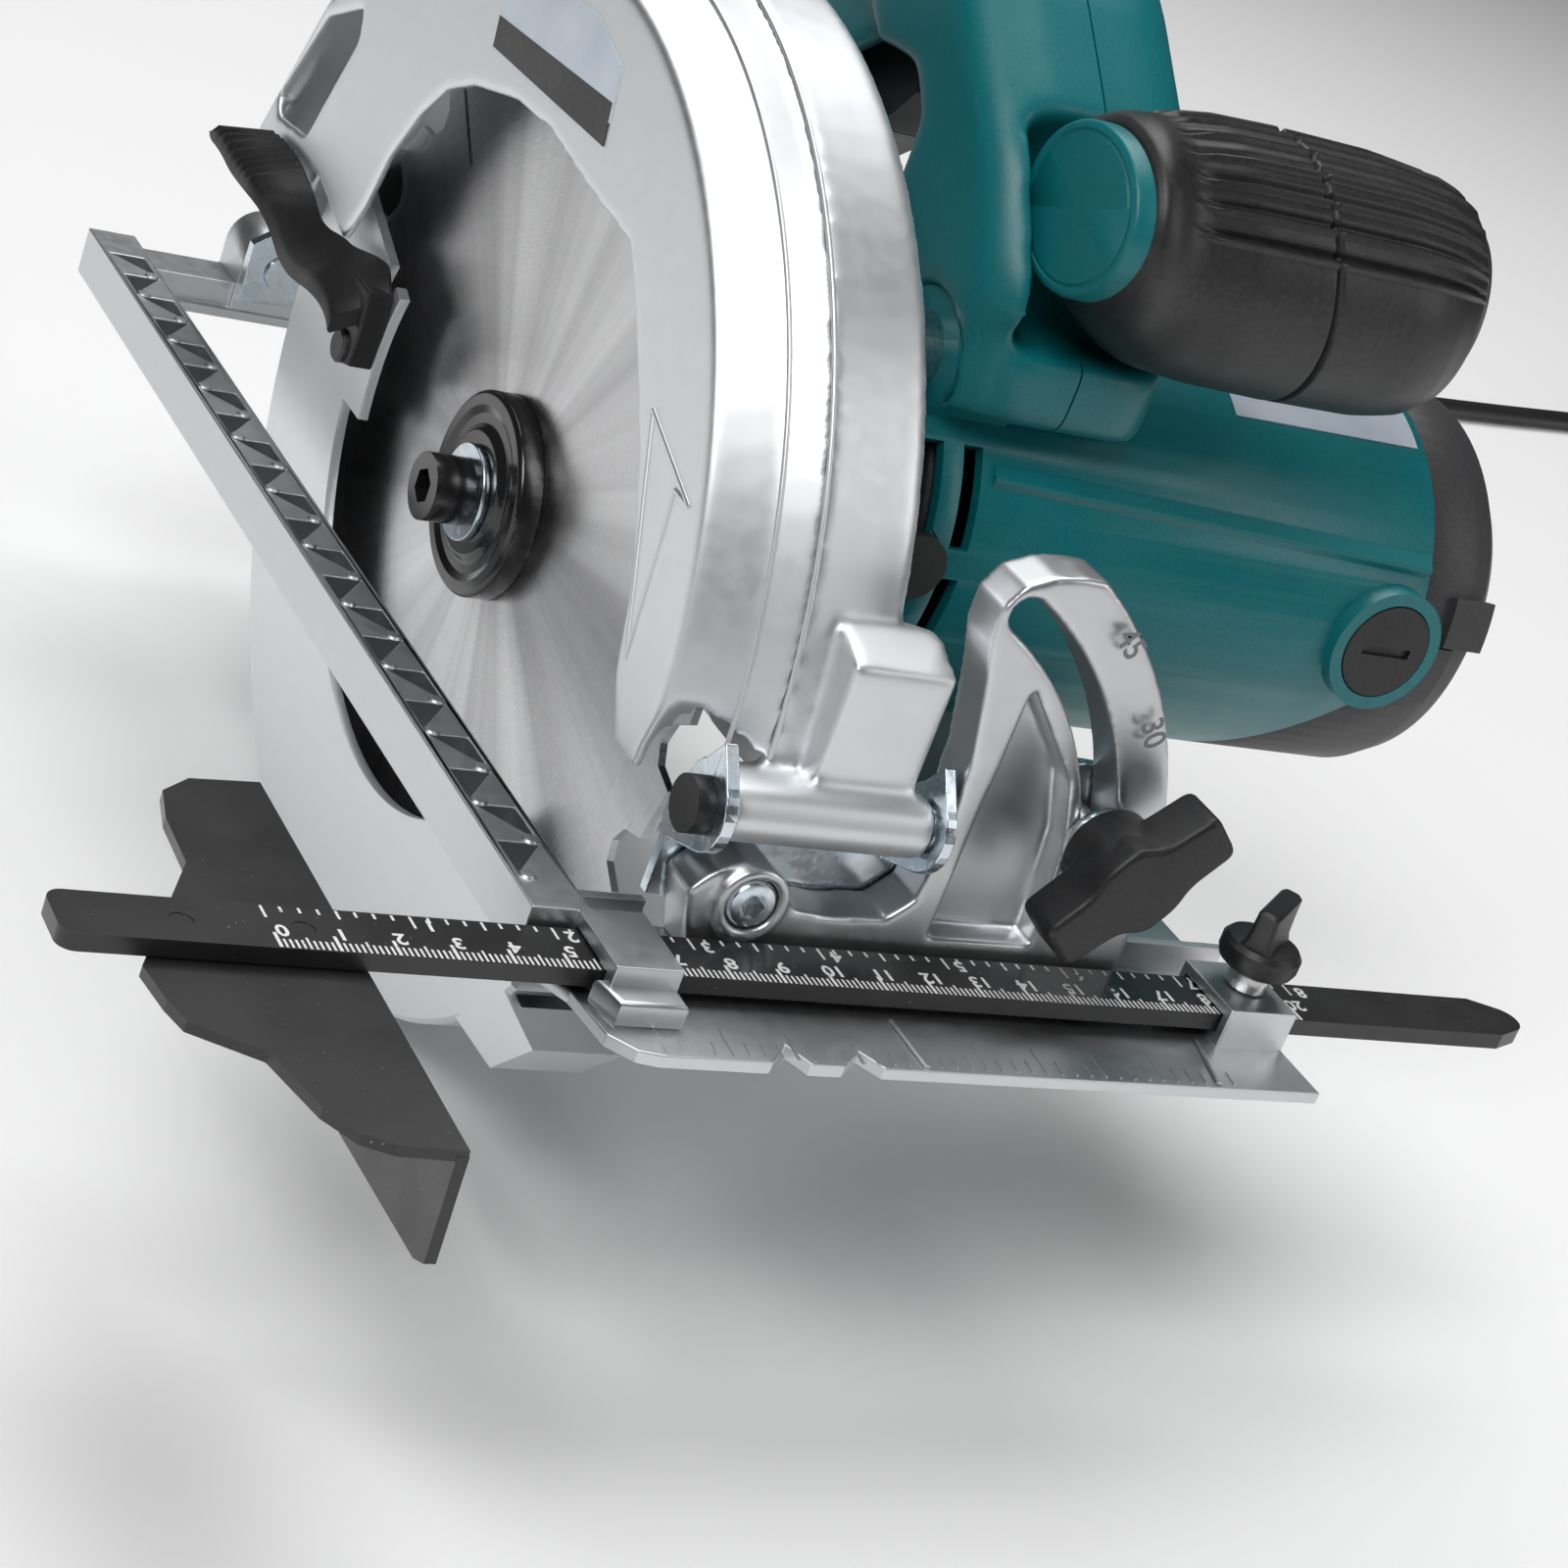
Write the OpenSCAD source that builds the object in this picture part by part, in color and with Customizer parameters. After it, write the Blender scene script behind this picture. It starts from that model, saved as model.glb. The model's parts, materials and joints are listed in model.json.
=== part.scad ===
/* [Blade] */
// Blade diameter
blade_d = 190; // [180:1:190]
// Blade thickness
blade_t = 1.5; // [1.2:0.1:1.8]
// Number of blade teeth
blade_teeth = 24; // [18:2:40]
// Radius of the clamping flanges
flange_r = 20; // [16:1:21]

/* [Base] */
// Width of the sole plate
base_w = 149; // [147:1:160]
// Length of the sole plate
base_l = 316; // [314:1:330]
// Thickness of the sole plate
plate_t = 2.3; // [2:0.1:2.8]
// Height of the ribbed rail along the blade side
rail_h = 10.5; // [8:0.5:12]
// Height of the blade axle over the sole
axle_z = 29.3; // [29:0.1:30]

/* [Motor] */
// Outer radius of the motor housing
motor_r = 41.5; // [40.5:0.5:42]
// Wall of the motor housing
motor_wall = 2.6; // [2:0.1:3]
// Teeth on the spindle gear
gear_teeth = 48; // [48]
// Teeth on the rotor pinion
pinion_teeth = 9; // [9]

/* [Guide] */
// Length of the rip guide bar
bar_l = 291.8; // [280:1:320]
// Width of the rip guide bar
bar_w = 12.5; // [10:0.5:12.5]

/* [Cord] */
// Cord diameter
cord_d = 7; // [6:0.5:7]

/* [Hidden] */

// The sections below use axes through the blade: x = 0 is its middle plane, y = 0 its axle.
// place() moves them so that the origin is the centre of the sole's outline.
rail_x = -34.5;
front_y = -151.5;
rear_y = front_y + base_l;
right_x = rail_x + base_w;
rail_w = 11;
window_x = [rail_x + rail_w, 46];
window_y = [-111, 150];

// Tilt axis of the bevel, parallel to Y
tilt_x = 5.4;
tilt_z = 14.2;
slot_r = 66.5;
slot_w = 7;
bolt_r = 3;
bolt_angle = 15.5;
bevel_range = 45;
quadrant_r = 80.2;
quadrant_y = [-121, -111];

// Depth axis, parallel to X
depth_y = -118;
depth_z = 30;
pin_r = 4;
bar_arc_r = 211;
clamp_angle = 10;
depth_range = 33;
running = 0.05;

// Guards
cover_x = -13.5;
cover_face_r = 104;
bead_x = 4;
bead_r = 113.3;
rim_x = 24;
rim_r = 112.3;
wall = 2.2;
back_x = 11;
lower_r = 101.5;
lower_x = 9.3;
hub_r = 22;

// Rotor axis and gears
rotor_y = -20.5;
rotor_z = 51.5;
rotor_dist = norm([rotor_y, rotor_z - axle_z]);
rotor_dir = atan2(rotor_z - axle_z, rotor_y);
gear_module = 2 * rotor_dist / (gear_teeth + pinion_teeth);
gear_x = 21;
gear_w = 10;
shaft_r = 5;
case_x = 46;
housing_end = 173;
cap_end = 196;

// Handles
split_x = 72;
arm_half = 24;
grip_half = 18;
front_grip_y = -60;
front_grip_z = 122;

// Guide bar
bar_x = -116.3;
bar_y = -135.5;
bar_z = 4.3;
bar_t = 3.2;

// Cord route from the strain relief to the coil, in the blade axes
floor_z = axle_z - lower_r;
cord_z = floor_z + 3.5;
cord_route = [
  [72, 157, 31], [74, 166, 17], [76, 178, 0], [78, 190, -20], [82, 204, -41],
  [88, 220, -57], [98, 240, -66], [116, 264, cord_z], [145, 296, cord_z], [190, 332, cord_z],
  [250, 362, cord_z], [320, 390, cord_z], [400, 418, cord_z], [480, 444, cord_z],
  [560, 462, cord_z], [620, 470, cord_z], [670, 478, cord_z], [719, 487, cord_z],
  [745, 491, cord_z], [772, 492, cord_z]
];
coil_r = 38.5;
coil_x = 790;
coil_y = 450;
coil_layers = 3;

steel = "silver";
zinc = "lightsteelblue";
cast = "gainsboro";
black = "dimgray";
teal = "teal";
rubber = "darkslategray";

function polar(r, a) = [r * cos(a), r * sin(a)];
function arc(r, a0, a1, n, c) = [for (i = [0:n]) c + polar(r, a0 + (a1 - a0) * i / n)];

module place() translate([-rail_x - base_w / 2, -front_y - base_l / 2, 0]) children();

// A solid along X from x0 to x1 over an outline given in (y, z)
module side_plate(x0, x1)
  translate([x0, 0, 0]) rotate([90, 0, 90]) linear_extrude(x1 - x0) children();

// A solid along Y from y0 to y1 over an outline given in (x, z)
module front_plate(y0, y1)
  translate([0, y1, 0]) rotate([90, 0, 0]) linear_extrude(y1 - y0) children();

// A round bar along X about (y, z)
module rod_x(x0, x1, r, y, z)
  translate([x0, y, z]) rotate([0, 90, 0]) cylinder(h = x1 - x0, r = r, $fn = 96);

// A round bar along Y about (x, z)
module rod_y(y0, y1, r, x, z)
  translate([x, y1, z]) rotate([90, 0, 0]) cylinder(h = y1 - y0, r = r, $fn = 96);

// A turned solid about an axis along X: profile points are [radius, x]
module turn_x(profile, y = 0, z = axle_z)
  translate([0, y, z]) rotate([0, 90, 0]) rotate_extrude($fn = 128) polygon(profile);

// Sole plate

module sole_outline() {
  polygon([
    [rail_x, rear_y], [rail_x, -122], [-33, -128], [-29.6, -134], [-28, -146], [-24, front_y + 1],
    [-20, front_y], [0.3, front_y], [5, -146], [7.6, front_y],
    [14, front_y], [19, -146.7], [22, front_y], [right_x, front_y], [right_x, rear_y]
  ]);
}

module sole_window() {
  polygon([
    [window_x[0], window_y[0] + 8], [window_x[0] + 8, window_y[0]],
    [window_x[1], window_y[0]], [window_x[1], window_y[1] - 10],
    [window_x[1] - 10, window_y[1]], [window_x[0], window_y[1]]
  ]);
}

// Triangular pockets between zig-zag ribs, repeated along the rail
module rail_pockets() {
  pitch = 12;
  low = rail_x + 1.6;
  high = rail_x + rail_w - 1.6;
  for (i = [0:21])
    translate([0, -112 + i * pitch, plate_t])
      linear_extrude(rail_h)
        if (i % 2 == 0) polygon([[low, 0.8], [low, pitch - 1.2], [high, pitch - 1.2]]);
        else polygon([[high, 0.8], [high, pitch - 1.2], [low, pitch - 1.2]]);
}

// A clip that bridges the guide bar between x0 and x1
module bar_clip(x0, x1, y0, h)
  translate([x0, y0, plate_t - 0.3]) cube([x1 - x0, -121 - y0, h - plate_t + 0.3]);

module base_plate() color(cast) place() difference() {
  union() {
    linear_extrude(plate_t) difference() {
      sole_outline();
      sole_window();
    }
    difference() {
      translate([rail_x, -122, 0]) cube([rail_w, rear_y + 122, rail_h]);
      rail_pockets();
    }
    bar_clip(-26, -13.5, -139, 10.5);
    bar_clip(99.5, right_x, -138, 10);
    translate([window_x[0], -113, 0]) cube([15, 2, 8]);
    translate([86, -113, 0]) cube([right_x - 86, 2, 8]);
    translate([rail_x, 152, 0]) cube([tilt_x - rail_x, rear_y - 152, 8]);
    translate([tilt_x - 8, 150.3, 0]) cube([16, rear_y - 150.3, tilt_z]);
    rod_y(150.3, rear_y, 8, tilt_x, tilt_z);
  }
  translate([-40, bar_y - 0.5, bar_z - 0.3]) cube([170, bar_w + 1, bar_t + 0.7]);
  rod_y(140, rear_y + 1, pin_r, tilt_x, tilt_z);
  translate([108, -129, 0]) cylinder(h = 20, r = 2.6, $fn = 48);
}

// Bevel quadrant standing across the front of the sole

module quadrant_outline() {
  polygon(concat(
    [
      [80, plate_t], [-3, plate_t], [-4.8, 8.5], [-6.6, 15.2], [-4.4, 17.8], [-2.2, 19.6], [2.4, 21.6],
      [8, 21], [10.8, 17.6], [14.9, 13.1], [22.6, 12.3], [33.3, 13], [37.7, 17], [38.8, 25],
      [38, 44], [34.6, 59.4], [32.2, 67], [32, 73.5], [34.6, 77.8], [40, 80.2], [46, 80.9]
    ],
    arc(quadrant_r, 56, -8, 16, [tilt_x, tilt_z])
  ));
}

module arc_slot(r, half, a0, a1, c, n = 24) {
  polygon(concat(
    arc(r + half, a0, a1, n, c), arc(half, a1, a1 + 180, 10, c + polar(r, a1)),
    arc(r - half, a1, a0, n, c), arc(half, a0 + 180, a0 + 360, 10, c + polar(r, a0))
  ));
}

module bevel_quadrant() color(cast) place() difference() {
  union() {
    front_plate(quadrant_y[0], quadrant_y[1]) quadrant_outline();
    rod_y(-122.8, quadrant_y[0] + 1, 7, tilt_x, tilt_z);
  }
  front_plate(quadrant_y[0] - 1, quadrant_y[1] + 1)
    arc_slot(slot_r, slot_w / 2, bolt_angle - 1, bolt_angle + bevel_range + 1, [tilt_x, tilt_z]);
  front_plate(quadrant_y[0] - 1, quadrant_y[0] + 6)
    polygon([[44, 60], [59, 43], [63, 31.5], [65, 10], [43, 10]]);
  rod_y(-124, -119.8, 5, tilt_x, tilt_z);
  rod_y(-122, -110, 3, tilt_x, tilt_z);
}

module front_pivot_screw() color(zinc) place() difference() {
  union() {
    rod_y(-122.6, -119.8, 4.6, tilt_x, tilt_z);
    rod_y(-120, -108, 3, tilt_x, tilt_z);
    rod_y(-108.1, -105, 5, tilt_x, tilt_z);
  }
  translate([tilt_x, -121, tilt_z]) rotate([90, 0, 0]) cylinder(h = 3, r = 2.6, $fn = 6);
}

module rear_pivot_screw() color(zinc) place() union() {
  rod_y(145, rear_y + 1.5, pin_r, tilt_x, tilt_z);
  rod_y(rear_y, rear_y + 3, 6, tilt_x, tilt_z);
}

// Rip guide

module guide_bar() color(black) place()
  translate([0, 0, bar_z]) linear_extrude(bar_t) difference() {
    hull() {
      translate([bar_x + 3, bar_y + 3]) circle(r = 3, $fn = 32);
      translate([bar_x + 3, bar_y + bar_w - 3]) circle(r = 3, $fn = 32);
      translate([bar_x + bar_l - 10, bar_y]) square([2, bar_w]);
      translate([bar_x + bar_l - 4, bar_y + 6]) circle(r = 4, $fn = 32);
    }
    translate([-96, bar_y + bar_w / 2]) circle(r = 2, $fn = 32);
    translate([-76, bar_y + bar_w / 2]) circle(r = 2, $fn = 32);
  }

module guide_fence() color(black) place() difference() {
  union() {
    translate([0, 0, 2]) linear_extrude(2) polygon([
      [-66, -77], [-79, -78], [-85, -83], [-87, -92], [-87.5, -105.8], [-103.6, -137.6],
      [-102.3, -146.6], [-100.7, -152], [-90, -159], [-86, -172.8], [-82, -179], [-77, -181.5],
      [-66, -182.3]
    ]);
    side_plate(-67.8, -65.8) polygon([
      [-77, 3], [-83, -4], [-94, -22], [-100, -25], [-112, -25], [-140, -19], [-180, -17],
      [-183.5, -15.4], [-182.3, 3]
    ]);
  }
  translate([-96, bar_y + bar_w / 2, 0]) cylinder(h = 5, r = 2, $fn = 32);
  translate([-76, bar_y + bar_w / 2, 0]) cylinder(h = 5, r = 2, $fn = 32);
}

module fence_rivets() color(black) place()
  for (x = [-96, -76]) translate([x, bar_y + bar_w / 2, 1]) {
    cylinder(h = bar_z + bar_t - 0.6, r = 2, $fn = 32);
    cylinder(h = 1, r = 3.4, $fn = 32);
    translate([0, 0, bar_z + bar_t - 1]) cylinder(h = 1, r = 3.4, $fn = 32);
  }

module guide_screw() color(steel) place() translate([108, -129, bar_z + bar_t + 0.2]) {
  cylinder(h = 14, r = 2.55, $fn = 48);
  translate([0, 0, 2.7]) cylinder(h = 3.4, r = 4, $fn = 48);
}

module guide_wing() color(black) place() translate([108, -129, 14]) {
  difference() {
    cylinder(h = 3.6, r = 6.6, $fn = 64);
    translate([0, 0, -1]) cylinder(h = 6, r = 2.55, $fn = 48);
  }
  difference() {
    translate([-7, -2.5, 3.4]) cube([14, 5, 10.6]);
    translate([0, 0, -1]) cylinder(h = 8.7, r = 2.55, $fn = 48);
  }
}

// Tilting frame

module ear(x0, x1) difference() {
  side_plate(x0, x1) polygon(concat(
    [[-107, 18], [-107, 25.5], [-110.5, 28]],
    arc(8, 0, 60, 6, [depth_y, depth_z]), [[depth_y, depth_z + 12]],
    arc(8, 130, 250, 12, [depth_y, depth_z])
  ));
  rod_x(x0 - 1, x1 + 1, pin_r, depth_y, depth_z);
}

module front_bracket() color(zinc) place() {
  difference() {
    front_plate(-110.7, -108.2) polygon(concat(
      [[-8.2, 8], [-8.2, 25], [37.2, 25], [46, 36]],
      arc(10, 110, -40, 10, [tilt_x, tilt_z] + polar(slot_r, bolt_angle)),
      [[50, 9], [20, 6]]
    ));
    rod_y(-112, -107, 3 + running, tilt_x, tilt_z);
    rod_y(-112, -107, bolt_r, tilt_x + slot_r * cos(bolt_angle), tilt_z + slot_r * sin(bolt_angle));
  }
  ear(-8.2, -5.6);
  ear(34.9, 37.2);
}

module depth_pin() color(steel) place() rod_x(-8.2, 37.4, pin_r, depth_y, depth_z);

module pin_cap() color(black) place() rod_x(-11.8, -8.2, 5, depth_y, depth_z);

module bevel_bolt() color(steel) place()
  translate([tilt_x + slot_r * cos(bolt_angle), 0, tilt_z + slot_r * sin(bolt_angle)]) {
    rod_y(-133.9, -108.2, bolt_r, 0, 0);
    rod_y(-108.2, -105, 6, 0, 0);
  }

module depth_bar() color(zinc) place() difference() {
  union() {
    side_plate(25, 28) polygon(concat(
      arc(bar_arc_r + 8, -6, clamp_angle + depth_range + 4, 32, [depth_y, depth_z]),
      arc(bar_arc_r - 8, clamp_angle + depth_range + 4, -6, 32, [depth_y, depth_z])
    ));
    side_plate(25, 28) polygon([[88, 8], [149, 8], [149, 20], [96, 20]]);
  }
  side_plate(24, 29)
    arc_slot(bar_arc_r, 3.4, clamp_angle - 0.5, clamp_angle + depth_range + 0.5, [depth_y, depth_z], 32);
}

module rear_bracket() color(zinc) place() difference() {
  front_plate(146, 149) polygon([[-3, 6], [-3, 20], [1, 23], [10, 23], [14, 20], [25, 20], [25, 8]]);
  rod_y(145, 150, pin_r + running, tilt_x, tilt_z);
}

// Bevel knob

module bevel_wing() color(black) place()
  translate([tilt_x + slot_r * cos(bolt_angle), 0, tilt_z + slot_r * sin(bolt_angle)]) difference() {
    union() {
      rod_y(-137, -123.2, 8.8, 0, 0);
      front_plate(-138, -127.5) polygon([
        [16.5, 9.5], [9, 16.5], [-3, 9.5], [-8.5, 2], [-16.5, -9.5], [-9, -16.5], [3, -9.5], [8.5, -2]
      ]);
    }
    rod_y(-134, -120, bolt_r + running, 0, 0);
  }

module bevel_washer() color(steel) place()
  translate([tilt_x + slot_r * cos(bolt_angle), 0, tilt_z + slot_r * sin(bolt_angle)]) difference() {
    rod_y(-123.2, -121.3, 7.5, 0, 0);
    rod_y(-124, -120, bolt_r + running, 0, 0);
  }

// Upper guard

module guard_sector() {
  polygon(concat([[0, axle_z]], arc(125, 14, 180, 24, [0, axle_z]), [[-125, 27], [-80, 27]]));
}

module chute_outline() {
  polygon([[60, 118], [84, 108], [104, 98], [119, 85], [137, 50], [137, 42], [96, 42], [60, 60]]);
}

module chute_inside() {
  polygon([[64, 110], [84, 103], [102, 94], [117, 83], [134.6, 50], [134.6, 44.2], [104, 44.2], [60, 60]]);
}

module face_opening() {
  polygon([
    [78, 45], [71, 58], [67, 70], [59, 82], [50, 91], [39, 96], [20, 100.5], [2, 101.5], [-21, 98.5],
    [-41, 97], [-52, 87], [-67, 71], [-80, 52], [-85.5, 36], [-92.5, 27], [-92.5, 0], [60, 0], [90, 40]
  ]);
}

module cover_notch() {
  polygon([[-101, 20], [-102, 31], [-104.5, 42], [-113.5, 36], [-120, 30], [-120, 20]]);
}

module guard_cover() color(cast) place() {
  difference() {
    intersection() {
      turn_x([
        [60, cover_x], [cover_face_r, cover_x], [cover_face_r + 4.7, -2.5], [bead_r, bead_x],
        [bead_r - wall, bead_x], [cover_face_r + 2.6, -1.7], [cover_face_r - 1.6, cover_x + wall],
        [60, cover_x + wall]
      ]);
      side_plate(cover_x - 1, bead_x + 1) guard_sector();
    }
    side_plate(cover_x - 1, cover_x + wall + 1) face_opening();
    side_plate(cover_x - 1, bead_x + 1) cover_notch();
    side_plate(cover_x + wall, bead_x + 1) chute_inside();
  }
  difference() {
    side_plate(cover_x, bead_x) difference() {
      chute_outline();
      translate([0, axle_z]) circle(r = cover_face_r - 2, $fn = 128);
    }
    side_plate(cover_x + wall, bead_x + 1) chute_inside();
    side_plate(cover_x - 1, cover_x + wall + 1)
      polygon([[100, 90], [98, 84], [110.5, 58], [128, 56], [131, 60], [117.5, 82]]);
  }
}

// Gear housing with the rear half of the upper guard

module gear_case_outline(spindle_radius, rotor_radius) hull() {
  translate([0, axle_z]) circle(r = spindle_radius, $fn = 32);
  translate([rotor_y, rotor_z]) circle(r = rotor_radius, $fn = 32);
}

module guard_back() {
  intersection() {
    union() {
      translate([0, axle_z]) circle(r = rim_r - 1, $fn = 180);
      chute_outline();
    }
    guard_sector();
  }
}

module barrel() {
  rod_x(-5.4, 34.7, 5.6, depth_y, depth_z);
  side_plate(-5, 31) polygon([[-119, 30], [-118, 35.5], [-110.5, 35.5], [-110.5, 28], [-117, 25]]);
  side_plate(11, 31) polygon([[-118, 32], [-118, 58], [-108, 62], [-96, 58], [-96, 32], [-112, 27]]);
}

module gear_housing() color(cast) place() difference() {
  union() {
    intersection() {
      turn_x([
        [bead_r, bead_x], [rim_r + 0.7, 8], [rim_r, 22], [rim_r - 1, rim_x], [rim_r - wall, rim_x],
        [rim_r - wall, bead_x]
      ]);
      side_plate(bead_x, rim_x) difference() {
        guard_sector();
        chute_inside();
      }
    }
    side_plate(back_x, back_x + 3) guard_back();
    side_plate(bead_x, rim_x) difference() {
      chute_outline();
      chute_inside();
      translate([0, axle_z]) circle(r = rim_r - 2, $fn = 128);
    }
    rod_x(6.6, back_x + 9, hub_r, 0, axle_z);
    side_plate(back_x + 3, case_x) gear_case_outline(29, 34);
    rod_x(back_x, 24.8, 8, depth_y + bar_arc_r * cos(clamp_angle), depth_z + bar_arc_r * sin(clamp_angle));
    barrel();
  }
  rod_x(6, 11, 10, 0, axle_z);
  rod_x(10, 20.1, 16, 0, axle_z);
  side_plate(20, 32.5) union() {
    translate([0, axle_z]) circle(r = 27.3, $fn = 96);
    translate([rotor_y, rotor_z]) circle(r = 8, $fn = 64);
  }
  rod_x(32, 41, 14, 0, axle_z);
  rod_x(32, 43, 13, rotor_y, rotor_z);
  rod_x(42, 47, 6, rotor_y, rotor_z);
  rod_x(-6, 35, pin_r + running, depth_y, depth_z);
  rod_x(10, 26, 3, depth_y + bar_arc_r * cos(clamp_angle), depth_z + bar_arc_r * sin(clamp_angle));
  rod_x(12, 25, 7.25, -43, 88.5);
}

module housing_standoff() color(steel) place() rod_x(12, 50, 7.25, -43, 88.5);

// Motor housing and end cap

module vent(x, a0, a1) side_plate(x - 2.1, x + 2.1) polygon(concat(
  arc(50, a0, a1, 8, [rotor_y, rotor_z]), arc(30, a1, a0, 8, [rotor_y, rotor_z])
));

module vent_slots()
  for (x = [52.3, 61]) {
    vent(x, 144, 171);
    vent(x, 179, 197);
    vent(x, 9, 36);
  }

module brush_boss(y0, y1) rod_y(y0, y1, 13, 165.5, rotor_z);

// The end cap reaches further forward under the motor
module cap_skirt() difference() {
  front_plate(-70, 30) polygon([[141, 7], [173, 43.6], [180, 43.6], [180, 7]]);
  brush_boss(-71, 31);
}

module motor_housing() color(teal) place() difference() {
  union() {
    rod_x(case_x, housing_end, motor_r, rotor_y, rotor_z);
    brush_boss(rotor_y - motor_r - 2.5, rotor_y - 20);
    brush_boss(rotor_y + 20, rotor_y + motor_r + 2.5);
    rod_x(50, 68, 12, -43, 88.5);
  }
  rod_x(case_x + 3, housing_end + 8, motor_r - motor_wall, rotor_y, rotor_z);
  cap_skirt();
  rod_x(case_x - 1, case_x + 4, 7, rotor_y, rotor_z);
  vent_slots();
  rod_x(case_x - 1, 50, 7.25, -43, 88.5);
  rod_y(rotor_y - motor_r - 3, rotor_y - 12, 6.5, 165.5, rotor_z);
  rod_y(rotor_y + 12, rotor_y + motor_r + 3, 6.5, 165.5, rotor_z);
  rod_y(rotor_y - motor_r - 3, rotor_y - motor_r + 0.5, 10.3, 165.5, rotor_z);
  rod_y(rotor_y + motor_r - 0.5, rotor_y + motor_r + 3, 10.3, 165.5, rotor_z);
  rod_y(rotor_y - motor_r - 1, rotor_y - motor_r + 9, 5.2, 50.7, 55);
  rod_y(rotor_y - motor_r - 4, rotor_y - motor_r + 1.6, 7, 50.7, 55);
}

module end_cap() color(black) place() difference() {
  union() {
    turn_x([
      [0, housing_end], [motor_r, housing_end], [motor_r, 184], [motor_r - 2, 190],
      [motor_r - 8, cap_end], [0, cap_end]
    ], rotor_y, rotor_z);
    intersection() {
      difference() {
        rod_x(140, 174, motor_r, rotor_y, rotor_z);
        rod_x(139, 175, motor_r - motor_wall, rotor_y, rotor_z);
      }
      cap_skirt();
    }
  }
  turn_x([
    [0, housing_end - 1], [motor_r - motor_wall, housing_end - 1], [motor_r - motor_wall, 184],
    [motor_r - 11, cap_end - 3], [14, cap_end - 3], [14, 178], [11, 178], [11, 187], [0, 187]
  ], rotor_y, rotor_z);
  brush_boss(rotor_y - motor_r - 4, rotor_y - 20);
  brush_boss(rotor_y + 20, rotor_y + motor_r + 4);
}

// Handles

module arm_outline() {
  polygon([
    [-62, 84], [-62.5, 97.6], [-66, 105], [-63, 112], [-50, 128], [-39.7, 137.1], [-20, 152.8],
    [2, 166], [14, 170], [26, 166], [40, 152], [8, 130], [-8, 131], [-16.6, 123], [-16.4, 98], [-10, 84],
    [-20, 70]
  ]);
}

module grip_outline() {
  polygon([
    [14, 170], [26, 166], [120, 96], [139, 74], [142, 66], [136, 54], [126, 50], [112, 49], [60, 42],
    [14, 30], [12, 60], [62, 62], [84, 68], [90, 74], [86, 80], [8, 134]
  ]);
}

module handle_half(x0, x1, grip_x0, grip_x1) difference() {
  union() {
    side_plate(x0, x1) arm_outline();
    side_plate(grip_x0, grip_x1) grip_outline();
  }
  rod_x(40, 180, motor_r, rotor_y, rotor_z);
  rod_x(56, 158, 24.2, front_grip_y, front_grip_z);
  rod_x(47, 69, 12, -43, 88.5);
  side_plate(58.5, 85.5) polygon([[20, 158], [112, 90], [92, 82], [14, 138]]);
  side_plate(58.5, 85.5) polygon([[14, 138], [40, 120], [34, 108], [4, 130]]);
  side_plate(54.5, 89.5) polygon([[38, 104], [86, 70.4], [98, 70], [98, 86], [42, 122]]);
  rod_x(50, 62.5, 4.4, 32, 146);
}

module handle_left() color(teal) place()
  handle_half(split_x - arm_half, split_x, split_x - grip_half, split_x);

module handle_right() color(teal) place()
  handle_half(split_x, split_x + arm_half, split_x, split_x + grip_half);

module handle_grip() color(rubber) place()
  side_plate(54.6, 89.4) polygon([[40, 105], [86, 72], [96, 72], [96, 79], [43, 116]]);

module switch_block() color(rubber) place()
  side_plate(61.6, 84) polygon([[34, 146.5], [94, 102], [91, 97.5], [31, 141.5]]);

module trigger() color(rubber) place()
  side_plate(64, 80) polygon([[11, 131], [16, 136.6], [37, 121.8], [33, 108.5], [22, 110], [12, 121]]);

module lock_button() color(rubber) place() rod_x(52, 59.8, 4, 32, 146);

module front_handle() color(teal) place() {
  rod_x(58, 140, 10, front_grip_y, front_grip_z);
  rod_x(56, 60, 17, front_grip_y, front_grip_z);
}

module front_grip() color(rubber) place() turn_x([
  [10, 60], [20, 60], [22.6, 68], [23.8, 80], [24, 96], [23.8, 112], [22.8, 126], [21, 138],
  [18, 145], [10, 147], [0, 147], [0, 140], [10, 140]
], front_grip_y, front_grip_z);

module strain_relief() color(rubber) place()
  translate([72, 136, 59]) rotate([-90 - atan2(28, 21), 0, 0])
    cylinder(h = 35, r1 = 6.4, r2 = 4.2, $fn = 64);

// Motor parts

module stator() color("slategray") place() difference() {
  rod_x(88, 138, 38.4, rotor_y, rotor_z);
  rod_x(87, 139, 22.5, rotor_y, rotor_z);
}

module rotor_core() color("slategray") place() difference() {
  rod_x(90, 136, 21.8, rotor_y, rotor_z);
  rod_x(89, 137, shaft_r, rotor_y, rotor_z);
}

module commutator() color("peru") place() difference() {
  rod_x(154, 176, 12, rotor_y, rotor_z);
  rod_x(153, 177, shaft_r, rotor_y, rotor_z);
}

module fan() color("dimgray") place() difference() {
  union() {
    rod_x(54, 57, 35, rotor_y, rotor_z);
    rod_x(54, 66, 9, rotor_y, rotor_z);
    for (a = [0:30:330])
      translate([56, rotor_y, rotor_z]) rotate([a, 0, 0]) translate([0, 8, -0.8]) cube([9, 26, 1.6]);
  }
  rod_x(53, 67, shaft_r, rotor_y, rotor_z);
}

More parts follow.
